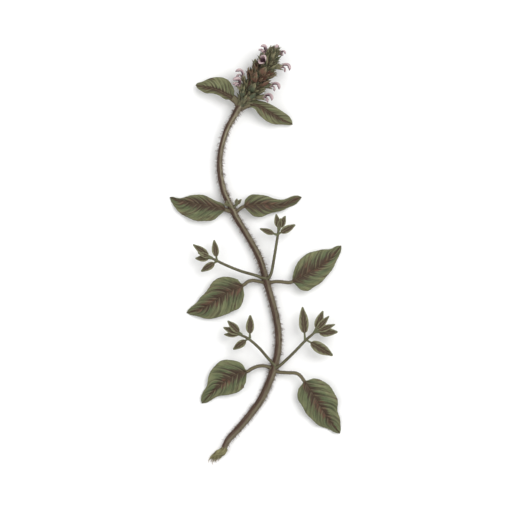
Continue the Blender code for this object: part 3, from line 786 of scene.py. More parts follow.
@dataclass(frozen=True)
class PetalFinish:
    """Pale lilac petal with darker purple margins and a creamy tube, with painted shade at the mouth of the
    tube and on the petals' inner faces.
    """

    name: str = "petal_lilac"
    lilac: Colour = seen(158, 132, 140)
    pink: Colour = seen(192, 172, 170)
    purple: Colour = seen(84, 60, 70)
    cream: Colour = seen(164, 146, 124)
    roughness: float = 0.5

    def material(self) -> Material:
        """Wires the petal's colours from its flow and spread values.

        Returns:
            The finished material.
        """
        wiring = Wiring(self.name)
        across, along, painted_inner_shade = wiring.values("spread")
        stroke = wiring.grain(0.3, 3.4)
        # Darker purple at the margins, the tips and the middle line, with painted shade on the inner faces
        # and at the mouth of the tube.
        edge = wiring.total(
            wiring.step(across, 0.5, 1.0, 0.75),
            wiring.step(along, 0.8, 1.0, 0.35),
            wiring.step(across, 0.16, 0.04, 0.6),
            wiring.times(painted_inner_shade, 0.6),
            wiring.swing(stroke, 1.0),
        )
        colour = wiring.layered(
            self.cream,
            (wiring.step(along, 0.15, 0.5), self.pink),
            (wiring.step(stroke, 0.44, 0.6, 0.9), self.lilac),
            (wiring.step(edge, 0.1, 1.0), self.purple),
        )
        return wiring.done(colour, self.roughness, stroke, 0.05)


@dataclass(frozen=True)
class RootFinish:
    """Root tuft, olive brown with pale fibrous rootlets."""

    name: str = "root_skin"
    olive: Colour = seen(128, 124, 88)
    dark: Colour = seen(86, 78, 54)
    pale: Colour = seen(176, 160, 142)
    roughness: float = 0.75

    def material(self) -> Material:
        """Wires the root's colours from its flow and spread values.

        Returns:
            The finished material.
        """
        wiring = Wiring(self.name)
        _, along, fibre = wiring.values("spread")
        streak = wiring.grain(0.4, 2.6, detail=4.0)
        pale = wiring.times(fibre, wiring.step(along, 0.35, 0.85))
        colour = wiring.layered(self.olive, (wiring.step(streak, 0.4, 0.65), self.dark), (pale, self.pale))
        return wiring.done(colour, self.roughness, streak, 0.15)


@dataclass(frozen=True)
class BristleFinish:
    """Fine hairs, from buff to brown."""

    name: str
    light: Colour = seen(140, 120, 104)
    dark: Colour = seen(74, 58, 50)
    roughness: float = 0.7

    def material(self) -> Material:
        """Wires each hair's tone.

        Returns:
            The finished material.
        """
        wiring = Wiring(self.name)
        tone, *_ = wiring.values("tone")
        return wiring.done(wiring.layered(self.light, (tone, self.dark)), self.roughness, tone, 0.01)


# Stem


@dataclass
class MainStem:
    """The main stem: its route, its radius along the way and the swellings where leaves leave it."""

    route: Points = (
        (-3.9, -98.6, 2.1), (-1.4, -93.5, 1.7), (3.2, -88.5, 1.5), (9.5, -81.0, 1.5), (14.9, -73.5, 1.5),
        (18.5, -66.0, 1.7), (21.4, -58.0, 2.2), (23.3, -50.0, 2.5), (23.7, -41.0, 2.6), (22.2, -30.5, 2.7),
        (17.6, -14.0, 2.9), (14.6, -3.5, 3.0), (9.2, 7.0, 3.1), (3.4, 16.5, 3.3), (1.0, 21.3, 3.4),
        (-3.6, 31.0, 3.7), (-5.6, 42.0, 4.2), (-5.0, 51.5, 4.9), (-2.1, 61.5, 5.8), (3.4, 71.5, 7.0),
        (5.0, 74.2, 7.3),
    )
    radius: Knots = (
        (0, 1.35), (0.05, 1.6), (0.15, 1.75), (0.3, 1.65), (0.5, 1.5), (0.75, 1.42), (0.9, 1.25), (1, 1.5),
    )
    nodes: Points = ((21.4, -58.0, 2.2), (17.6, -14.0, 2.9), (1.0, 21.3, 3.4), (4.3, 72.9, 7.2))
    swell: float = 0.25
    swell_reach: float = 2.6
    coarse_rows: int = 42
    coarse_sides: int = 8
    rows: int = 520
    sides: int = 40
    squareness: float = 0.07
    hairs: int = 4600
    lean_back: float = 0.35

    def surface(self, shares: np.ndarray, turns: np.ndarray, squareness: float) -> np.ndarray:
        """Points on the stem.

        Args:
            shares: shares of the length, one for each point.
            turns: angles in radians from the top towards the left, one for each point.
            squareness: how far the four corners stand out, as a share of the radius.

        Returns:
            The points.
        """
        centres, ways = Route(self.route).spokes(shares, turns)
        radii = smooth_read(self.radius, shares)
        for node in np.array(self.nodes):
            radii = radii + self.swell * hill(np.linalg.norm(centres - node, axis=1), self.swell_reach)
        points = centres + (radii * (1 + squareness * (np.cos(4 * turns) - 0.4)))[:, None] * ways
        points[:, 2] = np.maximum(points[:, 2], 0)
        return points

    def placement(self) -> Placement:
        """Finds where the drawing frame lies in the row frame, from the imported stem's box.

        Returns:
            The placement.
        """
        shares = np.repeat(np.linspace(0, 1, self.coarse_rows), self.coarse_sides)
        turns = np.tile(around(self.coarse_sides, 0.5), self.coarse_rows)
        drawn = self.surface(shares, turns, 0.0)
        low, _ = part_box("main_stem")
        return Placement(tuple(float(x) for x in np.array(low) / MM - drawn.min(axis=0)))

    def skin(self) -> Skin:
        """The stem's slightly squarish surface.

        Returns:
            The surface.
        """
        shares = np.repeat(np.linspace(0, 1, self.rows), self.sides)
        turns = np.tile(around(self.sides), self.rows)
        points = self.surface(shares, turns, self.squareness)
        flow = stacked(shares * Route(self.route).length, turns * 1.6, 0.0)
        # The first spread value, the sine of the angle round the stem, sets where the finish paints shade on
        # the left side.
        spread = stacked(np.sin(turns), shares, np.cos(turns))
        made = Skin()
        rings, flow, spread = (grid.reshape(self.rows, self.sides, 3) for grid in (points, flow, spread))
        made.tube(rings, flow=flow, spread=spread)
        return made

    def bristles(self) -> Skin:
        """Hairs that lean back towards the root, on the stem's sides and top.

        Returns:
            The hairs.
        """
        fuzz = Fuzz(seed=11, radius=0.06)
        shares = fuzz.draw.random(self.hairs) ** 0.75
        turns = fuzz.draw.choice((-1, 1), self.hairs) * fuzz.draw.uniform(0.4, 2.0, self.hairs)
        route = Route(self.route)
        _, ways = route.spokes(shares, turns)
        fuzz.add(self.surface(shares, turns, self.squareness), ways - self.lean_back * route.heading(shares))
        return fuzz.skin(shortest=0.6, longest=2.2)

    def build(self, shop: Workshop) -> None:
        """Makes the stem and its hairs."""
        shop.piece("stem", self.skin(), StemFinish().material(), Slot.STEM, ["main_stem"])
        shop.piece("stem_bristles", self.bristles(), BristleFinish("bristle_stem").material(), Slot.STEM)


# Leaves


@dataclass(frozen=True)
class Blush:
    """How far the brown reaches from a leaf's midrib on its left and right halves."""

    left: float = 0.3
    right: float = 0.3
    tip: float = 0.5


@dataclass
class Blade:
    """A leaf with its stalk: routes of stalk and rib, and half-widths on either hand."""

    name: str
    stalk: Points
    rib: Points
    left: Sequence[float]
    right: Sequence[float]
    rise: float = 0.34
    droop: float = 0.36
    wave: float = 0.55
    stalk_radius: float = 0.75
    stalk_flatness: float = 1.0
    thickness: float = 0.36
    veins: int = 7
    blush: Blush = Blush()
    tone: float = 0.0
    rows: int = 220
    stalk_rows: int = 40
    columns: int = 91

    HAIRS_PER_MM = 16.0
    GRAIN_APART = 3.7
    VEIN_SWEEP = 0.15
    VEIN_BEND = 0.13
    LAST_VEIN = 0.84
    VEIN_WIDTH = 0.32
    VEIN_DEPTH = 0.14
    RIB_DEPTH = 0.22
    QUILT = 0.20
    STALK_HOLLOW = 0.3
    WAVES = 7
    SHARES = (0, 0.05, 0.15, 0.3, 0.5, 0.7, 0.85, 0.95, 1)
    TIP = 0.1
    OPENING = 0.05
    ROUNDED = 0.035
    RIM = 0.45

    def course(self) -> Route:
        """The curve of stalk and rib together."""
        return Route((*self.stalk, *self.rib))

    def vein_field(
        self, along: np.ndarray, across: np.ndarray, half: np.ndarray, length: float
    ) -> tuple[np.ndarray, np.ndarray, np.ndarray]:
        """Side veins of the blade.

        Args:
            along: share of the blade's length at each point.
            across: from 1 at the left margin to -1 at the right one.
            half: half-width at each point.
            length: the blade's length.

        Returns:
            How strong the nearest side vein is, how far tipwards of it each point lies, and the
            flow coordinate that stays the same along a side vein.
        """
        out = np.abs(across)
        phase = along - (self.VEIN_SWEEP * out + self.VEIN_BEND * out**2)
        steep = (self.VEIN_SWEEP + 2 * self.VEIN_BEND * out) * length / half
        nearest = np.full(half.shape, 99.0)
        for k in range(self.veins):
            start = self.LAST_VEIN * (k / self.veins) ** 0.92 + 0.02 * math.sin(2.7 * k)
            start = start + np.where(across > 0, 0.0, 0.04)
            away = (phase - start) * length / np.sqrt(1 + steep**2)
            nearest = np.where(np.abs(away) < np.abs(nearest), away, nearest)
        strength = hill(nearest, self.VEIN_WIDTH - 0.1 * out) * ramp(out, 1.0, 0.7)
        return strength, nearest, phase * length

    def half_widths(self, onward: np.ndarray, across: np.ndarray, length: float, seed: int) -> np.ndarray:
        """Half-widths of the blade, with its margin's small unevenness.

        Args:
            onward: share of the blade's length in each row.
            across: from 1 at the left margin to -1 at the right one, in each column.
            length: the blade's length.
            seed: sets this leaf's margin apart.

        Returns:
            The half-width at each point.
        """
        both = []
        run = onward * length
        for hand, knots in enumerate((self.left, self.right)):
            widths = tuple(zip(self.SHARES, (self.stalk_radius, *knots, self.TIP)))
            uneven = 0.15 * np.sin(0.75 * run + seed + 2 * hand)
            uneven = uneven + 0.04 * np.sin(2.9 * run + 2.2 * seed + hand)
            uneven = uneven * ramp(onward, 0.03, 0.15) * ramp(onward, 1.0, 0.9) * min(max(self.left) / 7, 1.0)
            both.append(np.maximum(smooth_read(widths, onward) + uneven, self.TIP))
        ended = np.clip((onward - 1 + self.ROUNDED) / self.ROUNDED, 0, 1)
        return np.where(across > 0, *both) * np.sqrt(1 - 0.98 * ended**2)

    def brown(
        self,
        onward: np.ndarray,
        across: np.ndarray,
        half: np.ndarray,
        middle: np.ndarray,
        nearest: np.ndarray,
    ) -> np.ndarray:
        """How brown the blade is: most by the midrib and along side veins.

        Args:
            onward: share of the blade's length at each point.
            across: from 1 at the left margin to -1 at the right one.
            half: half-width at each point.
            middle: how near the midrib each point is, from 0 to 1.
            nearest: how far each point is from its nearest side vein.

        Returns:
            The brown share at each point.
        """
        reach = np.where(across > 0, self.blush.left, self.blush.right) * (1 - (1 - self.blush.tip) * onward)
        band = 1.25 * hill(across, np.maximum(reach, 0.02))
        strokes = 0.26 * hill(nearest + 0.2, 0.5) * np.exp(-((across / (reach + 0.35)) ** 4))
        return (np.maximum(band, 0.5 * middle) + strokes) * ramp(half, 0.2, 1.5)

    def skin(self, seed: int) -> Skin:
        """The leaf's surface, from its stalk's foot to its tip.

        Args:
            seed: sets this leaf's grain and margin apart.

        Returns:
            The closed surface. The third number of its spread is 1 below and 0 above.
        """
        route = self.course()
        start = route.knot_share(len(self.stalk))
        stalk = start * np.arange(self.stalk_rows) / self.stalk_rows
        shares = np.concatenate((stalk, start + (1 - start) * crowded_shares(self.rows)))
        centre, left, above = (grid[:, None, :] for grid in route.frames(shares))
        along = ((shares - start) / (1 - start))[:, None]
        length = route.length * (1 - start)
        onward = np.maximum(along, 0)
        opened = ramp(along, 0.0, self.OPENING)
        taper = self.stalk_radius * (1 + 0.5 * hill(shares[:, None] * route.length, 1.4) - 0.75 * onward)
        even = np.linspace(1, -1, self.columns)[None, :]
        across = np.sign(even) * np.abs(even) ** 1.15
        out = np.abs(across)
        half = self.half_widths(onward, across, length, seed)
        side = across * half
        laterals, nearest, phase = self.vein_field(along, across, half, length)
        lift = half * (self.rise * out - self.droop * across**2)
        hand = np.where(across > 0, 2.0, 0.0)
        lift = lift + self.wave * across**2 * np.sin(self.WAVES * math.pi * along + hand)
        middle = hill(side, 0.45 * taper + 0.12)
        under_rib = taper * 0.8 * hill(side, taper)
        quilt = self.QUILT * (1 - hill(nearest, 0.9)) * (1 - out**2) * ramp(half, 0.6, 3.0)
        thick = self.thickness * (1 - 0.55 * out**4) / 2
        angle = math.pi * (np.arange(self.columns) + 0.5)[None, :] / self.columns
        ring_side, ring_rise = taper * np.cos(angle), taper * np.sin(angle) * self.stalk_flatness
        ring_top = ring_rise - self.STALK_HOLLOW * ring_rise * hill(np.cos(angle), 0.35)
        rise = lift + thick + quilt - self.VEIN_DEPTH * laterals - self.RIB_DEPTH * middle + 0.3 * under_rib
        fall = thick - lift - quilt * 0.6 + under_rib + self.VEIN_DEPTH * laterals
        side = ring_side + (side - ring_side) * opened
        rise = ring_top + (rise - ring_top) * opened
        fall = ring_rise + (fall - ring_rise) * opened
        top = centre + left * side[..., None] + above * rise[..., None]
        low = centre + left * side[..., None] - above * fall[..., None]
        top[..., 2] = np.maximum(top[..., 2], self.thickness + FLOOR_GAP + 0.1 * quilt)
        low[..., 2] = np.maximum(low[..., 2], FLOOR_GAP)
        # Painted highlight: a light line just tipward of each side vein. Painted shade: a dark band just
        # baseward of each side vein, stronger towards the midrib.
        lit = hill(nearest - 0.38, 0.24) * (1 - 0.5 * out)
        painted_hollow_shade = 0.5 * hill(nearest + 0.55, 0.42) + 0.3 * (1 - out) - 0.05
        upper = {
            "spread": stacked(out, along, 0.0),
            "flow": stacked(phase, side, seed * self.GRAIN_APART + np.sign(across)),
            "vein": stacked(middle * opened, laterals, self.brown(onward, across, half, middle, nearest)),
            "shade": stacked(lit, painted_hollow_shade, across + (self.tone - across) * opened),
        }
        lower = {**upper, "spread": stacked(out, along, 1.0)}
        push = left * (0.5 * self.thickness * self.RIM)
        rims = (top + low) / 2
        top = np.concatenate((rims[:, :1] + push, top, rims[:, -1:] - push), axis=1)
        made = Skin()
        rimmed = {name: np.pad(grid, ((0, 0), (1, 1), (0, 0)), "edge") for name, grid in upper.items()}
        made.tube(closed(top, low), **{name: closed(grid, lower[name]) for name, grid in rimmed.items()})
        return made


LARGE_LEAVES = (
    Blade(
        "leaf_lower_left",
        stalk=((21.0, -58.2, 2.3), (19.0, -57.1, 2.9), (16.4, -56.4, 3.6), (13.2, -56.7, 4.4),
               (10.4, -57.8, 4.9)),
        rib=((8.1, -59.2, 5.0), (4.0, -60.0, 4.9), (-0.4, -62.4, 4.4), (-6.4, -66.8, 3.0),
             (-11.5, -72.0, 1.3), (-14.6, -75.4, 0.7)),
        left=(5.3, 7.5, 8.0, 6.9, 3.6, 2.2, 1.1),
        right=(3.2, 6.8, 9.5, 8.5, 4.5, 3.2, 1.9),
        blush=Blush(0.44, 0.46, 0.15),
    ),
    Blade(
        "leaf_lower_right",
        stalk=((21.6, -59.0, 2.1), (23.8, -59.5, 2.5), (26.4, -59.8, 3.1), (29.4, -59.9, 4.0),
               (32.6, -60.1, 4.8), (34.8, -61.5, 5.2)),
        rib=((36.5, -63.9, 5.2), (40.7, -70.2, 4.8), (45.2, -77.6, 3.6), (50.1, -84.9, 1.6),
             (54.6, -90.4, 0.7)),
        left=(4.5, 7.6, 9.3, 9.2, 5.9, 4.0, 1.9),
        right=(4.4, 7.1, 7.7, 7.5, 5.8, 2.9, 1.2),
        blush=Blush(0.38, 0.4, 0.4),
    ),
    Blade(
        "leaf_middle_left",
        stalk=((17.4, -14.8, 2.8), (15.4, -14.5, 3.3), (13.3, -14.1, 4.0), (10.6, -13.7, 4.9),
               (8.1, -14.5, 5.3)),
        rib=((6.2, -16.0, 5.3), (-1.3, -19.3, 5.0), (-7.0, -23.0, 4.2), (-11.5, -26.2, 3.2),
             (-17.3, -28.8, 1.6), (-22.3, -30.0, 0.7)),
        left=(4.8, 8.9, 9.8, 8.7, 6.5, 2.9, 1.3),
        right=(3.8, 6.2, 8.5, 6.5, 5.0, 3.1, 1.5),
        blush=Blush(0.42, 0.52, 0.5),
    ),
    Blade(
        "leaf_middle_right",
        stalk=((18.0, -15.0, 2.8), (20.2, -14.6, 3.1), (22.6, -14.3, 3.8), (25.4, -14.4, 4.6),
               (28.4, -14.8, 5.1)),
        rib=((30.6, -14.4, 5.2), (35.5, -11.6, 5.2), (40.5, -9.0, 4.6), (45.7, -5.8, 3.4), (50.9, -1.6, 1.7),
             (55.2, 3.8, 0.7)),
        left=(2.4, 5.3, 8.2, 8.3, 6.3, 3.2, 1.6),
        right=(5.3, 7.7, 7.5, 6.3, 3.9, 2.2, 1.0),
        blush=Blush(0.62, 0.36, 0.4),
    ),
    Blade(
        "leaf_upper_left",
        stalk=((1.0, 21.0, 3.3), (-0.4, 21.0, 3.5), (-1.7, 21.3, 3.8)),
        rib=((-2.8, 21.7, 4.0), (-6.4, 22.6, 4.4), (-12.3, 23.8, 4.3), (-18.8, 24.9, 3.4), (-25.5, 26.3, 1.7),
             (-30.8, 27.9, 0.7)),
        left=(2.5, 6.0, 7.8, 8.2, 6.8, 4.2, 1.8),
        right=(2.2, 2.9, 4.0, 4.8, 2.6, 0.9, 0.5),
        stalk_radius=0.95,
        blush=Blush(0.34, 0.66, 0.7),
    ),
    Blade(
        "leaf_upper_right",
        stalk=((1.2, 20.2, 3.3), (2.6, 20.7, 3.6), (4.4, 22.0, 4.2)),
        rib=((6.3, 23.2, 4.7), (10.5, 24.0, 5.0), (15.5, 24.3, 4.6), (21.0, 23.9, 3.6), (26.0, 24.1, 2.2),
             (31.0, 26.0, 1.1), (35.4, 28.1, 0.8)),
        left=(3.2, 5.0, 4.7, 3.4, 2.4, 2.4, 1.4),
        right=(2.4, 5.7, 6.1, 3.7, 2.2, 1.9, 0.9),
        blush=Blush(0.45, 0.5, 1.1),
    ),
    Blade(
        "leaf_spike_left",
        stalk=((4.5, 73.9, 7.0), (3.3, 75.3, 7.1), (2.2, 76.4, 7.1)),
        rib=((0.9, 77.4, 7.2), (-2.6, 79.3, 7.4), (-6.8, 81.4, 7.0), (-12.0, 82.8, 5.5), (-17.8, 83.8, 3.2)),
        left=(1.6, 2.3, 2.2, 2.3, 3.0, 1.9, 1.0),
        right=(3.3, 5.2, 6.6, 6.1, 4.1, 2.1, 1.2),
        rise=0.45,
        droop=0.3,
        stalk_radius=1.7,
        stalk_flatness=0.55,
        blush=Blush(0.62, 0.22, 0.5),
        tone=0.5,
    ),
    Blade(
        "leaf_spike_right",
        stalk=((4.6, 72.6, 7.0), (6.4, 73.0, 7.1), (8.0, 73.6, 7.2)),
        rib=((9.4, 74.0, 7.2), (12.4, 73.9, 7.2), (15.6, 72.5, 6.6), (20.2, 69.6, 5.3), (26.0, 66.4, 3.2),
             (31.0, 64.4, 1.5)),
        left=(1.7, 2.6, 3.4, 3.9, 3.6, 3.0, 1.6),
        right=(1.5, 2.4, 3.8, 4.4, 3.2, 1.6, 0.7),
        rise=0.45,
        droop=0.3,
        stalk_radius=1.3,
        stalk_flatness=0.7,
        blush=Blush(0.3, 0.4, 0.5),
        tone=0.5,
    ),
)


@dataclass
class Foliage:
    """The large leaves in their pairs."""

    leaves: Sequence[Blade] = LARGE_LEAVES

    def build(self, shop: Workshop) -> None:
        """Makes each leaf, and the hairs of their stalks.

        Args:
            shop: makes the pieces.
        """
        finish = LeafFinish().material()
        fuzz = Fuzz(seed=23, radius=0.032)
        for number, leaf in enumerate(self.leaves):
            shop.piece(f"{leaf.name}_blade", leaf.skin(number), finish, Slot.LEAF, [leaf.name])
            route = leaf.course()
            fuzz.along(route, 0.95 * leaf.stalk_radius, route.knot_share(len(leaf.stalk)), Blade.HAIRS_PER_MM)
        hairs = BristleFinish("bristle_stalk").material()
        shop.piece("stalk_bristles", fuzz.skin(shortest=0.3, longest=0.8), hairs, Slot.LEAF)


# Side shoots


@dataclass
class SideShoot:
    """A side shoot: its stem's route, and each small leaf as (foot, tip, half-width)."""

    name: str
    route: Points
    leaves: Sequence[tuple[Sequence[float], Sequence[float], float]]
    radius: float = 0.72
    rows: int = 90
    sides: int = 20

    SHAPE = (0.5, 0.78, 1.0, 0.95, 0.68, 0.4, 0.22)

    def young_leaf(self, foot: Sequence[float], tip: Sequence[float], half_width: float) -> Blade:
        """A small pointed leaf, arched between its foot and its tip.

        Args:
            foot: where it starts.
            tip: where it ends.
            half_width: half its width at the widest place.

        Returns:
            The leaf.
        """
        low, high = np.array(foot), np.array(tip)
        run = high - low
        arch = UP * np.linalg.norm(run) * 0.07
        stalk = (low, low + run * 0.1 + arch * 0.4)
        rib = (low + run * 0.2 + arch, low + run * 0.6 + arch * 1.3, high)
        widths = tuple(half_width * share for share in self.SHAPE)
        return Blade(
            "young_leaf", stalk, rib, widths, widths, rise=0.42, droop=0.2, wave=0.12, stalk_radius=0.42,
            thickness=0.26, veins=4, blush=Blush(0.5, 0.6, 0.8), rows=64, stalk_rows=6, columns=33,
        )

    def stem(self) -> Skin:
        """The shoot's thin stem, flared where it leaves the main stem.

        Returns:
            The stem's surface.
        """
        route = Route(self.route)
        shares, turns = np.linspace(0, 1, self.rows), around(self.sides)
        radii = smooth_read(((0, self.radius), (0.6, self.radius * 0.9), (1, self.radius * 0.8)), shares)
        radii = radii * (1 + 0.7 * hill(shares * route.length, 1.6))
        rings = route.rings(shares, radii[:, None] * (1 + 0.05 * np.cos(4 * turns)), turns)
        flow = stacked(turns * 0.8, (shares * route.length)[:, None] * 0.5, 9.0)
        # Paler on the stem's right side and darker on its left, as painted light and shade like the main
        # stem's two sides; browner towards both flanks.
        spread = stacked(0.45 - 0.3 * np.sin(turns), 0.0, 0.0)
        vein = stacked(0.0, 0.0, 0.4 + 0.45 * np.abs(np.sin(turns)))
        made = Skin()
        made.tube(rings, flow=flow, spread=spread, vein=vein, shade=np.zeros(3))
        return made

    def build(self, shop: Workshop, finish: Material) -> None:
        """Makes the shoot's stem and leaves as one piece.

        Args:
            shop: makes the piece.
            finish: its material.
        """
        whole = self.stem()
        for number, leaf in enumerate(self.leaves):
            whole.join(self.young_leaf(*leaf).skin(number))
        shop.piece(f"{self.name}_sprig", whole, finish, Slot.SHOOT, [self.name])


SIDE_SHOOTS = (
    SideShoot(
        "shoot_lower_left",
        route=((22.0, -56.3, 3.0), (20.0, -54.2, 4.2), (17.9, -51.9, 5.2), (13.8, -47.2, 6.6),
               (8.7, -42.8, 7.6), (5.0, -41.0, 8.0)),
        leaves=(
            ((9.4, -42.6, 7.6), (9.6, -30.9, 6.4), 2.0),
            ((9.0, -42.4, 7.4), (1.0, -48.3, 5.6), 1.8),
            ((5.4, -40.8, 8.0), (-1.7, -33.8, 8.2), 1.8),
            ((5.4, -40.8, 7.9), (-3.9, -37.1, 7.2), 1.6),
            ((5.4, -40.8, 7.8), (-3.6, -40.7, 6.2), 1.3),
        ),
    ),
    SideShoot(
        "shoot_lower_right",
        route=((22.2, -57.4, 3.0), (24.5, -56.2, 4.2), (27.2, -53.8, 5.0), (31.2, -49.9, 6.2),
               (37.2, -43.7, 7.2), (41.8, -39.6, 7.6)),
        leaves=(
            ((37.0, -43.4, 7.2), (35.7, -26.8, 5.8), 2.4),
            ((37.0, -43.0, 7.0), (51.0, -51.3, 5.0), 2.7),
            ((41.6, -39.6, 7.6), (46.0, -28.8, 7.4), 1.9),
            ((41.4, -39.6, 7.6), (49.0, -31.4, 8.6), 1.5),
            ((41.4, -39.6, 7.6), (52.0, -35.6, 8.0), 1.5),
            ((41.4, -39.6, 7.5), (53.4, -39.4, 6.2), 2.2),
        ),
    ),
    SideShoot(
        "shoot_middle_left",
        route=((17.2, -12.7, 3.5), (15.0, -12.2, 4.6), (12.4, -11.2, 5.4), (4.5, -8.9, 6.6),
               (-3.3, -5.7, 7.4), (-9.8, -2.5, 7.8)),
        leaves=(
            ((-7.0, -4.0, 7.7), (-8.5, 6.6, 6.4), 1.7),
            ((-6.6, -3.8, 7.5), (-15.0, -9.3, 5.8), 1.8),
            ((-9.4, -2.6, 7.8), (-19.0, 4.3, 7.8), 1.7),
            ((-9.4, -2.6, 7.8), (-16.6, 0.2, 8.9), 1.2),
            ((-9.4, -2.6, 7.7), (-17.9, -2.7, 6.6), 1.6),
        ),
    ),
    SideShoot(
        "shoot_middle_right",
        route=((17.9, -12.9, 3.5), (19.4, -11.6, 4.6), (20.5, -8.5, 5.3), (22.0, 0.2, 6.4), (23.4, 9.0, 7.2),
               (23.9, 11.9, 7.4)),
        leaves=(
            ((23.2, 9.0, 7.3), (14.3, 12.2, 6.2), 1.4),
            ((23.0, 9.2, 7.2), (32.2, 14.2, 6.2), 1.8),
            ((23.8, 11.2, 7.4), (22.5, 19.5, 7.4), 1.5),
            ((23.8, 11.2, 7.4), (24.8, 17.4, 8.7), 1.1),
            ((23.8, 11.2, 7.4), (27.2, 18.6, 7.2), 1.6),
        ),
    ),
    SideShoot(
        "bud_upper_right",
        route=((1.0, 22.4, 4.0), (2.0, 23.6, 4.8), (2.7, 24.4, 5.2)),
        leaves=(
            ((2.5, 23.9, 4.9), (3.0, 27.2, 5.8), 0.9),
            ((2.5, 23.8, 4.9), (5.2, 26.9, 6.0), 0.9),
        ),
        radius=0.6,
        rows=24,
    ),
    SideShoot(
        "bud_upper_left",
        route=((0.3, 22.6, 4.0), (-0.8, 23.5, 5.0), (-1.6, 23.8, 5.3)),
        leaves=(
            ((-0.8, 23.7, 4.9), (-3.6, 24.7, 6.4), 0.8),
            ((-0.8, 23.7, 5.0), (-2.4, 26.2, 5.8), 0.8),
        ),
        radius=0.6,
        rows=24,
    ),
)


# Flower spike


@dataclass(frozen=True)
class Flower:
    """A flower: where its mouth stands on the spike, its size and its lean in degrees."""

    height: float
    distance: float
    bearing: float
    size: float = 1.0
    tilt: float = 57
    stage: Stage = Stage.HOODED


FLOWERS = (
    Flower(6.2, 6.2, 146, 1.05, 62),
    Flower(7.9, 7.4, 18),
    Flower(10.6, 6.3, 170, 0.95, 62),
    Flower(14.5, 6.9, 8),
    Flower(22.4, 5.6, 108, 1.0, 66, Stage.FACING),
    Flower(25.3, 6.1, 8),
    Flower(26.3, 5.3, 138, 0.95, 42),
    Flower(31.0, 2.4, 24, 0.6, 50),
    Flower(31.4, 1.6, 116, 0.8, 14, Stage.BUD),
    Flower(12.6, 5.0, -60, 0.8, 46, Stage.BUD),
    Flower(17.6, 5.2, -120, 0.8, 46, Stage.BUD),
    Flower(22.8, 4.6, -60, 0.8, 42, Stage.BUD),
)


class SpikeFrame:
    """The spike's own frame: heights along its axis, and bearings round it."""

    FOOT = np.array((5.4, 74.9, 7.4))
    TIP = np.array((22.2, 100.7, 8.1))

    def __init__(self) -> None:
        """Finds the spike's axes."""
        self.axis = unit(self.TIP - self.FOOT)
        self.right = unit(np.cross(self.axis, UP))
        self.over = np.cross(self.right, self.axis)

    def outward(self, bearing: float) -> np.ndarray:
        """The unit direction away from the axis at a bearing in degrees."""
        turn = math.radians(bearing)
        return self.right * math.cos(turn) + self.over * math.sin(turn)

    def seat(self, height: float, distance: float, bearing: float, tilt: float) -> list[np.ndarray]:
        """Where a calyx stands.

        Args:
            height: its mouth's height on the axis.
            distance: its mouth's distance from the axis.
            bearing: its bearing in degrees.
            tilt: how far it leans out from the axis, in degrees.

        Returns:
            The mouth's centre, the direction it opens in, and the one square to that, tipwards.
        """
        out, lean = self.outward(bearing), math.radians(tilt)
        mouth = self.FOOT + self.axis * height + out * distance
        along = self.axis * math.cos(lean) + out * math.sin(lean)
        return [mouth, along, self.axis * math.sin(lean) - out * math.cos(lean)]


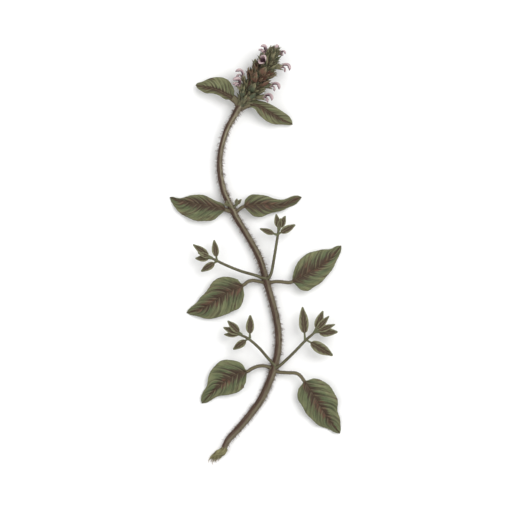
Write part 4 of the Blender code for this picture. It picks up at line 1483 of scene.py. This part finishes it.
@dataclass
class FlowerHead:
    """The green head: its middle, its tiers of toothed calyces and its bracts."""

    tiers: Sequence[tuple[float, float, float, float]] = (
        (3.4, 2.9, 8, 44),
        (6.2, 4.4, 32, 50),
        (10.4, 5.0, 50, 50),
        (15.2, 5.3, 20, 48),
        (20.0, 5.4, 50, 46),
        (24.6, 4.4, 20, 40),
        (28.8, 3.0, 50, 30),
    )
    per_tier: int = 8
    stagger: float = 0.7
    between: int = 7
    between_rise: float = 2.4
    between_turn: float = 14
    between_distance: float = 0.78
    between_upright: float = 12
    between_red_rise: float = 2
    bracts_per_tier: int = 5
    bract_turn: float = 1.7
    top_seat: tuple[float, float, float, float] = (32.6, 0.4, -90, 4)
    top_size: float = 0.8
    clear_of_flower: float = 2.3
    calyx_length: float = 5.4
    calyx_width: float = 1.3
    teeth: int = 5
    tooth_sides: int = 8
    tooth_length: float = 2.0
    tooth_splay: float = 0.5
    rib_depth: float = 0.05
    calyx_size: float = 0.9
    small_size: float = 0.68
    cup: Points = (
        (-1.0, 0.30, 0.0), (-0.85, 0.52, 0.0), (-0.6, 0.76, 0.0), (-0.35, 0.88, 0.0), (-0.12, 0.96, 0.0),
        (0.0, 1.0, 0.0), (0.0, 1.02, 0.35), (0.0, 1.04, 0.7), (0.0, 1.05, 1.0),
        (0.0, 0.98, 0.95), (0.0, 0.93, 0.5), (0.0, 0.88, 0.0), (-0.15, 0.82, 0.0), (-0.3, 0.6, 0.0),
    )
    outer_rings: int = 9
    bract_route: Points = ((1.8, -4.6, 0), (4.2, -3.3, 0), (5.8, -1.6, 0), (6.6, 0.2, 0), (6.9, 1.9, 0))
    bract_half: Knots = ((0, 0.28), (0.3, 0.9), (0.55, 1.0), (0.8, 0.62), (0.92, 0.22), (1, 0.04))
    bract_width: float = 1.85
    bract_distance: float = 5.4
    bract_rows: int = 40
    bract_columns: int = 25
    bract_thickness: float = 0.28
    core: Knots = ((0, 1.2), (0.05, 1.85), (0.1, 2.2), (0.2, 3.0), (0.5, 3.7), (0.8, 2.9), (1, 1.1))
    core_rows: int = 60
    core_sides: int = 36
    foot_reach: float = 2.6
    hairs_per_calyx: int = 26
    hairs_per_bract: int = 50
    frame: SpikeFrame = field(default_factory=SpikeFrame)
    fuzz: Fuzz = field(default_factory=lambda: Fuzz(seed=37, radius=0.03))

    def calyx(self, skin: Skin, seat: Sequence[np.ndarray], size: float, redness: float, seed: float) -> None:
        """Adds a ribbed cup with long teeth round its mouth.

        Args:
            skin: what the cup is added to.
            seat: the mouth's centre, the direction it opens in, and the one square to that.
            size: its size, where 1 is full grown.
            redness: how red it is, from 0 to 1.
            seed: sets its grain apart.
        """
        mouth, along, tipwards = seat
        count = self.teeth * self.tooth_sides
        turn, step = around(count), np.arange(count)
        out = np.cos(turn)[:, None] * tipwards + np.sin(turn)[:, None] * np.cross(along, tipwards)
        tooth = (1 - np.abs((step / self.tooth_sides + 0.5) % 1 - 0.5) * 2) ** 1.25
        rib = np.cos(2 * np.pi * step / (self.tooth_sides / 2)) * 0.5 + 0.5
        length, wide = self.calyx_length * size, self.calyx_width * size
        up, share, reach = np.array(self.cup).T[..., None]
        outer = (np.arange(len(self.cup)) < self.outer_rings)[:, None]
        height = length * up + self.tooth_length * size * reach * tooth
        radius = wide * share * (1 + self.rib_depth * outer * (rib - 0.5))
        radius = radius + self.tooth_splay * size * reach * tooth
        rings = mouth + height[..., None] * along + radius[..., None] * out
        share_up = np.clip((height / length + 1) / 1.37, 0, 1) * np.where(outer, 1, 0.4)
        flow = stacked(height, turn * wide, seed)
        skin.tube(rings, spread=stacked(share_up, rib * outer, redness), flow=flow)
        picks = self.fuzz.draw.integers(0, count, self.hairs_per_calyx)
        levels = self.fuzz.draw.integers(4, 8, self.hairs_per_calyx)
        self.fuzz.add(rings[levels, picks], out[picks] + 0.7 * along)

    def bract(self, skin: Skin, height: float, distance: float, bearing: float, redness: float) -> None:
        """Adds a broad pointed bract that cups a tier's calyces from below.

        Args:
            skin: what the bract is added to.
            height: its tier's height.
            distance: its tier's distance from the axis.
            bearing: its bearing in degrees.
            redness: how red it is, from 0 to 1.
        """
        axis, out = self.frame.axis, self.frame.outward(bearing)
        across = np.cross(axis, out)
        size = distance / self.bract_distance
        route = Route([(away * size, up, 0) for away, up, _ in self.bract_route])
        shares = np.linspace(0, 1, self.bract_rows)
        place, heading = route.at(shares), route.heading(shares)
        centre = self.frame.FOOT + axis * (height + place[:, 1:2]) + out * place[:, :1]
        face = out * heading[:, 1:2] - axis * heading[:, :1]
        half = (self.bract_width * size * smooth_read(self.bract_half, shares))[:, None]
        v = np.linspace(-1, 1, self.bract_columns)
        vein = np.cos(v * math.pi * 4.5) ** 8
        ripple = 0.12 * np.sin(shares * 30)[:, None] * v**4
        bow = 0.30 * v**2 * half - 0.06 * vein + ripple
        middle = centre[:, None] + across * (v * half)[..., None] - face[:, None] * bow[..., None]
        depth = face[:, None] * (self.bract_thickness / 2)
        along = shares[:, None]
        spread = stacked(0.25 + 0.5 * along + 0.25 * np.abs(v), vein * 0.8, redness)
        flow = stacked(along * 9, v * half, height + bearing)
        rings = closed(middle + depth, middle - depth)
        skin.tube(rings, spread=closed(spread, spread), flow=closed(flow, flow))
        rows = self.fuzz.draw.integers(8, self.bract_rows - 2, self.hairs_per_bract)
        hands = self.fuzz.draw.choice((0, self.bract_columns - 1), self.hairs_per_bract)
        self.fuzz.add(middle[rows, hands], across * v[hands][:, None] + 0.5 * axis + 0.3 * face[rows])

    def redness(self, height: float) -> float:
        """How red the head is at a height: most in its middle, and below 0 for its paler tip."""
        return math.exp(-(((height - 17.0) / 4.5) ** 2)) - 0.7 * float(np.clip((height - 20.0) / 9.0, 0, 1))

    def middle(self) -> Skin:
        """The head's solid middle, which shows between the calyces.

        Returns:
            The middle's surface.
        """
        foot, tip = self.frame.FOOT, self.frame.TIP
        route = Route((foot - self.frame.axis * self.foot_reach, (foot + tip) / 2, tip))
        shares, turns = np.linspace(0, 1, self.core_rows), around(self.core_sides)
        radii = smooth_read(self.core, shares)[:, None] * (1 + 0.08 * np.cos(9 * turns))
        along = shares[:, None]
        made = Skin()
        made.tube(
            route.rings(shares, radii, turns),
            spread=stacked(0.6 * hill(along, 0.12), 0.0, 0.5 * ramp(along, 0.08, 0.2)),
            flow=stacked(along * 30, turns * 3, 0.0),
        )
        return made

    def build(self, shop: Workshop) -> None:
        """Makes the head's middle, calyces and bracts.

        Args:
            shop: makes the pieces.
        """
        calyces, small_calyces, bracts = Skin(), Skin(), Skin()
        seats = [self.frame.seat(f.height, f.distance, f.bearing, f.tilt) for f in FLOWERS]
        for number, (flower, seat) in enumerate(zip(FLOWERS, seats)):
            self.calyx(calyces, seat, 0.6 + 0.4 * flower.size, self.redness(flower.height), number)
        for tier, (height, distance, first, tilt) in enumerate(self.tiers):
            red = self.redness(height)
            for k in range(self.per_tier):
                rise = self.stagger if k % 2 else -self.stagger
                seat = self.frame.seat(height + rise, distance, first + 360 * k / self.per_tier, tilt)
                if min(np.linalg.norm(seat[0] - other[0]) for other in seats) >= self.clear_of_flower:
                    self.calyx(calyces, seat, self.calyx_size, red, seed=20 + 9 * tier + k)
            upper, inner = height + self.between_rise, self.between_distance * distance
            upper_red = self.redness(height + self.between_red_rise)
            for k in range(self.between):
                bearing = first + self.between_turn + 360 * k / self.between
                seat = self.frame.seat(upper, inner, bearing, tilt - self.between_upright)
                self.calyx(small_calyces, seat, self.small_size, upper_red, seed=120 + 9 * tier + k)
            for k in range(self.bracts_per_tier):
                bearing = self.bract_turn * first + 360 * k / self.bracts_per_tier
                self.bract(bracts, height, distance, bearing, red)
        self.calyx(calyces, self.frame.seat(*self.top_seat), self.top_size, redness=0.0, seed=99)
        finish = SpikeFinish().material()
        hairs = BristleFinish("bristle_spike").material()
        skins = (self.middle(), calyces, small_calyces, bracts)
        for name, skin in zip(("middle", "calyces", "small_calyces", "bracts"), skins):
            shop.piece(f"spike_{name}", skin, finish, Slot.SPIKE, ["flower_spike"])
        shop.piece("spike_bristles", self.fuzz.skin(shortest=0.25, longest=0.75), hairs, Slot.SPIKE)


@dataclass
class Corolla:
    """One corolla: its tube, hood and lower lip, or a closed bud."""

    number: int
    flower: Flower
    tube: Points = ((-2.6, 0.0, 0), (0.4, 0.0, 0), (1.5, 0.3, 0))
    tube_radius: Knots = ((0, 0.55), (0.5, 0.65), (1, 0.95))
    hood: Points = (
        (0.8, 0.5, 0), (1.9, 1.5, 0), (3.3, 1.9, 0), (4.7, 1.5, 0), (5.5, 0.4, 0), (5.5, -0.9, 0),
        (4.9, -1.8, 0),
    )
    hood_half: Knots = ((0, 0.7), (0.3, 1.15), (0.65, 1.4), (0.9, 1.25), (1, 0.6))
    raised_hood: Points = ((0.8, 0.5, 0), (1.9, 1.0, 0), (3.3, 1.4, 0), (4.8, 1.6, 0), (5.8, 1.2, 0))
    raised_half: Knots = ((0, 0.7), (0.4, 1.5), (0.8, 2.0), (1, 1.9))
    raised_lip: Points = ((0.7, -0.2, 0), (2.2, -1.6, 0), (3.5, -2.8, 0), (4.4, -3.1, 0))
    raised_lip_half: Knots = ((0, 0.6), (0.5, 1.3), (0.9, 1.6), (1, 1.4))
    lip: Points = ((0.7, -0.2, 0), (1.8, 0.1, 0), (2.8, -0.5, 0), (3.0, -1.6, 0), (2.5, -2.5, 0))
    lip_half: Knots = ((0, 0.6), (0.45, 0.85), (0.8, 1.0), (1, 0.6))
    bud: Points = ((-2.6, 0.0, 0), (0.6, 0.0, 0), (2.4, 0.3, 0), (3.4, 0.1, 0))
    bud_radius: Knots = ((0, 0.55), (0.45, 0.65), (0.8, 1.1), (0.96, 0.8), (1, 0.2))
    sides: int = 28
    petal_rows: int = 44
    petal_columns: int = 19

    def place(self, flat: np.ndarray, sideways: np.ndarray) -> np.ndarray:
        """Moves points of the corolla's own plane onto the spike.

        Args:
            flat: points as out, up and 0.
            sideways: how far each lies to the side.

        Returns:
            The points in the drawing frame.
        """
        spot = self.flower
        mouth, along, tipwards = SpikeFrame().seat(spot.height, spot.distance, spot.bearing, spot.tilt)
        across = np.cross(along, tipwards)
        moved = flat[..., :1] * along + flat[..., 1:2] * tipwards + sideways[..., None] * across
        return mouth + spot.size * moved

    def trumpet(
        self, skin: Skin, points: Points, radius: Knots, rows: int, ends: tuple[float, float]
    ) -> None:
        """Adds a round tube in the corolla's plane.

        Args:
            skin: what it is added to.
            points: its route.
            radius: its radius along the way.
            rows: how many rings it has.
            ends: how far along the flower it starts and ends, for its colour.
        """
        shares, turns = crowded_shares(rows), around(self.sides)
        centre, normal = Route(points).plane(shares)
        wide = smooth_read(radius, shares)[:, None] * (1 + 0.04 * np.cos(5 * turns))
        rings = self.place(centre + normal * (wide * np.cos(turns))[..., None], wide * np.sin(turns))
        along = (ends[0] + (ends[1] - ends[0]) * shares)[:, None]
        # Painted shade: the last rings of an open flower's tube, at its mouth, are darker.
        painted_throat_shade = (shares > 0.97)[:, None] * (0.0 if self.flower.stage is Stage.BUD else 1.6)
        skin.tube(rings, spread=stacked(0.35, along, painted_throat_shade), flow=stacked(along * 8, turns, self.number))

    def petal(
        self,
        skin: Skin,
        points: Points,
        half_widths: Knots,
        bow: float,
        thick: float,
        frill: float,
        lean: float = 0.0,
    ) -> None:
        """Adds a curled petal that is bowed across its width.

        Args:
            skin: what it is added to.
            points: its route.
            half_widths: its half-width along the way.
            bow: how deeply it is bowed.
            thick: its thickness.
            frill: how far its margin is waved.
            lean: how far it turns to its side, as a share of its length.
        """
        route = Route(points)
        shares = crowded_shares(self.petal_rows)
        centre, normal = route.plane(shares)
        v = np.linspace(-1, 1, self.petal_columns)[None, :]
        round_end = np.sqrt(np.clip(1 - ramp(shares, 0.86, 1.0) ** 2 * 0.96, 0, 1))
        half = (smooth_read(half_widths, shares) * round_end)[:, None]
        drop = bow * half * v**2 + frill * v**4 * np.sin(shares * 26)[:, None]
        thin = thick * (1 - 0.5 * v**4) / 2
        along = shares[:, None]
        sideways = half * v + lean * route.length * along
        top = self.place(centre - normal * (drop - thin)[..., None], sideways)
        low = self.place(centre - normal * (drop + thin)[..., None], sideways)
        # Painted shade on the petals' inner faces: deepest at the foot of a facing flower, and even over a
        # hooded flower's inner sheet.
        if self.flower.stage is Stage.FACING:
            outer = inner = stacked(0.3 + 0 * v, 0.3 + 0.45 * along, 3.2 * (1 - along) ** 1.6)
        else:
            outer, inner = (stacked(np.abs(v), 0.3 + 0.7 * along, painted_inner_shade) for painted_inner_shade in (0.0, 0.7))
        flow = stacked(along * 8, sideways, self.number)
        skin.tube(closed(top, low), spread=closed(outer, inner), flow=closed(flow, flow))

    def build(self, shop: Workshop, finish: Material) -> None:
        """Makes the corolla as one piece.

        Args:
            shop: makes the piece.
            finish: its material.
        """
        made = Skin()
        stage = self.flower.stage
        if stage is Stage.BUD:
            self.trumpet(made, self.bud, self.bud_radius, rows=36, ends=(0.2, 0.8))
        else:
            self.trumpet(made, self.tube, self.tube_radius, rows=20, ends=(0.0, 0.35))
        if stage is Stage.HOODED:
            self.petal(made, self.hood, self.hood_half, bow=0.9, thick=0.36, frill=0.03)
            for lean in (-0.28, 0.28):
                self.petal(made, self.lip, self.lip_half, bow=0.5, thick=0.3, frill=0.1, lean=lean)
        if stage is Stage.FACING:
            self.petal(made, self.raised_hood, self.raised_half, bow=0.9, thick=0.6, frill=0.05)
            self.petal(made, self.raised_lip, self.raised_lip_half, bow=-0.8, thick=0.55, frill=0.08)
        name = f"{self.number:02d}"
        shop.piece(f"flower_{name}", made, finish, Slot.PETAL, [f"corolla_{name}"])


# Root tuft


@dataclass
class RootTuft:
    """The root tuft: a knob at the stem's foot, and the rootlets that leave it."""

    knob: Points = ((-3.0, -97.4, 2.0), (-4.2, -99.2, 2.0), (-6.9, -100.4, 1.7), (-9.4, -101.8, 1.2))
    knob_radius: Knots = ((0, 1.3), (0.3, 1.95), (0.7, 1.5), (1, 0.5))
    rootlets: Sequence[Points] = (
        ((-8.8, -101.4, 1.2), (-10.1, -102.5, 1.2), (-11.2, -104.0, 0.8), (-11.0, -105.2, 0.4)),
        ((-7.6, -101.2, 1.3), (-8.4, -103.2, 1.3), (-9.3, -105.0, 0.8), (-8.9, -106.4, 0.4)),
        ((-6.3, -101.0, 1.3), (-6.8, -102.6, 1.3), (-7.7, -104.1, 0.8), (-7.3, -105.4, 0.4)),
        ((-5.0, -100.8, 1.3), (-5.3, -102.2, 1.1), (-6.2, -103.4, 0.8), (-6.0, -104.6, 0.4)),
    )
    rootlet_radius: Knots = ((0, 0.95), (0.3, 0.6), (0.55, 0.26), (0.8, 0.12), (1, 0.04))
    threads: int = 14
    thread_radius: Knots = ((0, 0.16), (0.6, 0.1), (1, 0.04))
    thread_reach: tuple[float, float] = (1.5, 3.2)
    thread_bend: float = 0.25
    thread_seed: int = 41
    sides: int = 28

    def limb(self, skin: Skin, points: Points, radius: Knots, rows: int, fibre: float, seed: float) -> None:
        """Adds a round, slightly uneven limb.

        Args:
            skin: what it is added to.
            points: its route.
            radius: its radius along the way.
            rows: how many rings it has.
            fibre: 1 for a pale rootlet, 0 for the knob.
            seed: sets its unevenness apart.
        """
        route = Route(points)
        shares, turns = np.linspace(0, 1, rows), around(self.sides)
        uneven = 1 + 0.07 * np.sin(5 * turns + seed) + 0.06 * np.sin(shares * 23 + seed)[:, None]
        rings = route.rings(shares, smooth_read(radius, shares)[:, None] * uneven, turns)
        rings[..., 2] = np.maximum(rings[..., 2], FLOOR_GAP)
        along = shares[:, None]
        skin.tube(rings, spread=stacked(0.0, along, fibre), flow=stacked(along * route.length, turns, seed))

    def build(self, shop: Workshop) -> None:
        """Makes the knob and its rootlets as one piece.

        Args:
            shop: makes the piece.
        """
        made = Skin()
        self.limb(made, self.knob, self.knob_radius, rows=60, fibre=0.0, seed=0.0)
        for number, rootlet in enumerate(self.rootlets):
            self.limb(made, rootlet, self.rootlet_radius, rows=40, fibre=1.0, seed=number + 1.0)
        draw = np.random.default_rng(self.thread_seed)
        for number in range(self.threads):
            share = draw.random()
            foot = np.array((-4.8 - 4.4 * share, -101.1 - 0.9 * share, 1.3))
            way = np.array((-0.45, -1.0, 0.0)) * draw.uniform(*self.thread_reach)
            way = way + draw.normal(0, self.thread_bend, 3) * (1, 1, 0)
            bend = draw.normal(0, self.thread_bend, 3) * (1, 1, 0)
            route = (foot, foot + 0.5 * way + bend + (0, 0, -0.3), foot + way + (0, 0, -0.8))
            self.limb(made, route, self.thread_radius, rows=16, fibre=1.0, seed=number + 8.0)
        shop.piece("root", made, RootFinish().material(), Slot.ROOT, ["root_tuft"])


# Studio


@dataclass
class Studio:
    """A pale floor, soft light and a camera that looks straight down."""

    frame_width: float = 0.256
    centre: tuple[float, float] = (0.000205, -0.00065)
    height: float = 2.0
    sensor: float = 36.0
    floor_size: float = 4.0
    floor_drop: float = 0.00003
    plant_middle: float = 0.004

    def hang(self, name: str, data: bpy.types.ID, place: Sequence[float] = (0, 0, 0)) -> bpy.types.Object:
        """Puts a mesh, light or camera into the scene.

        Args:
            name: the object's name.
            data: the mesh, light or camera.
            place: where it hangs, in metres.

        Returns:
            The object.
        """
        made = bpy.data.objects.new(name, data)
        made.location = place
        bpy.context.scene.collection.objects.link(made)
        return made

    def floor(self) -> None:
        """Lays the floor."""
        half = self.floor_size / 2
        corners = ((-half, -half), (half, -half), (half, half), (-half, half))
        mesh = bpy.data.meshes.new("floor")
        mesh.from_pydata([(x, y, -self.floor_drop) for x, y in corners], [], [(0, 1, 2, 3)])
        wiring = Wiring("floor_white")
        white = {"Base Color": (0.92, 0.92, 0.915, 1), "Roughness": 0.9, "Specular IOR Level": 0.0}
        wiring.feed(wiring.shader, white)
        mesh.materials.append(wiring.material)
        made = self.hang("floor", mesh)

    def light(self, name: str, place: tuple[float, float, float], size: float, power: float) -> None:
        """Hangs one soft light that faces the sprig.

        Args:
            name: the light's name.
            place: where it hangs, in metres.
            size: its width in metres.
            power: its power in watts.
        """
        lamp = bpy.data.lights.new(name, "AREA")
        lamp.size, lamp.energy = size, power
        made = self.hang(name, lamp, place)
        made.rotation_euler = (-made.location).to_track_quat("-Z", "Y").to_euler()

    def build(self) -> None:
        """Sets up the floor, the lights and the camera."""
        scene = bpy.context.scene
        self.floor()
        self.light("key", (0.45, 0.35, 0.9), size=0.7, power=7.0)
        self.light("fill", (-0.7, -0.2, 0.9), size=0.9, power=3.0)
        world = bpy.data.worlds.new("studio")
        world.use_nodes = True
        sky = world.node_tree.nodes["Background"].inputs
        sky["Color"].default_value = (1, 1, 1, 1)
        sky["Strength"].default_value = 0.68
        scene.world = world
        scene.view_settings.view_transform = "Standard"
        camera = bpy.data.cameras.new("camera")
        camera.sensor_width = self.sensor
        camera.lens = self.sensor * self.height / self.frame_width
        camera.clip_start, camera.clip_end = 0.1, 10.0
        scene.camera = self.hang("camera", camera, (*self.centre, self.height + self.plant_middle))
        LOG.info("studio: floor, two lights, camera %.0f mm", camera.lens)


def main() -> None:
    """Dresses the sprig and sets up the studio."""
    logging.basicConfig(level=logging.INFO, format="%(name)s: %(message)s")
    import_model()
    stem = MainStem()
    shop = Workshop(stem.placement())
    stem.build(shop)
    RootTuft().build(shop)
    Foliage().build(shop)
    shoot_finish = ShootFinish().material()
    shoot_fuzz = Fuzz(seed=29, radius=0.028)
    for shoot in SIDE_SHOOTS:
        shoot.build(shop, shoot_finish)
        shoot_fuzz.along(Route(shoot.route), shoot.radius * 0.85, end=0.9, per_mm=9.0)
    shoot_hairs = BristleFinish("bristle_shoot").material()
    shoot_bristles = shoot_fuzz.skin(shortest=0.25, longest=0.7)
    shop.piece("shoot_bristles", shoot_bristles, shoot_hairs, Slot.SHOOT)
    FlowerHead().build(shop)
    petal_finish = PetalFinish().material()
    for number, flower in enumerate(FLOWERS, 1):
        Corolla(number, flower).build(shop, petal_finish)
    Studio().build()


if __name__ == "__main__":
    main()
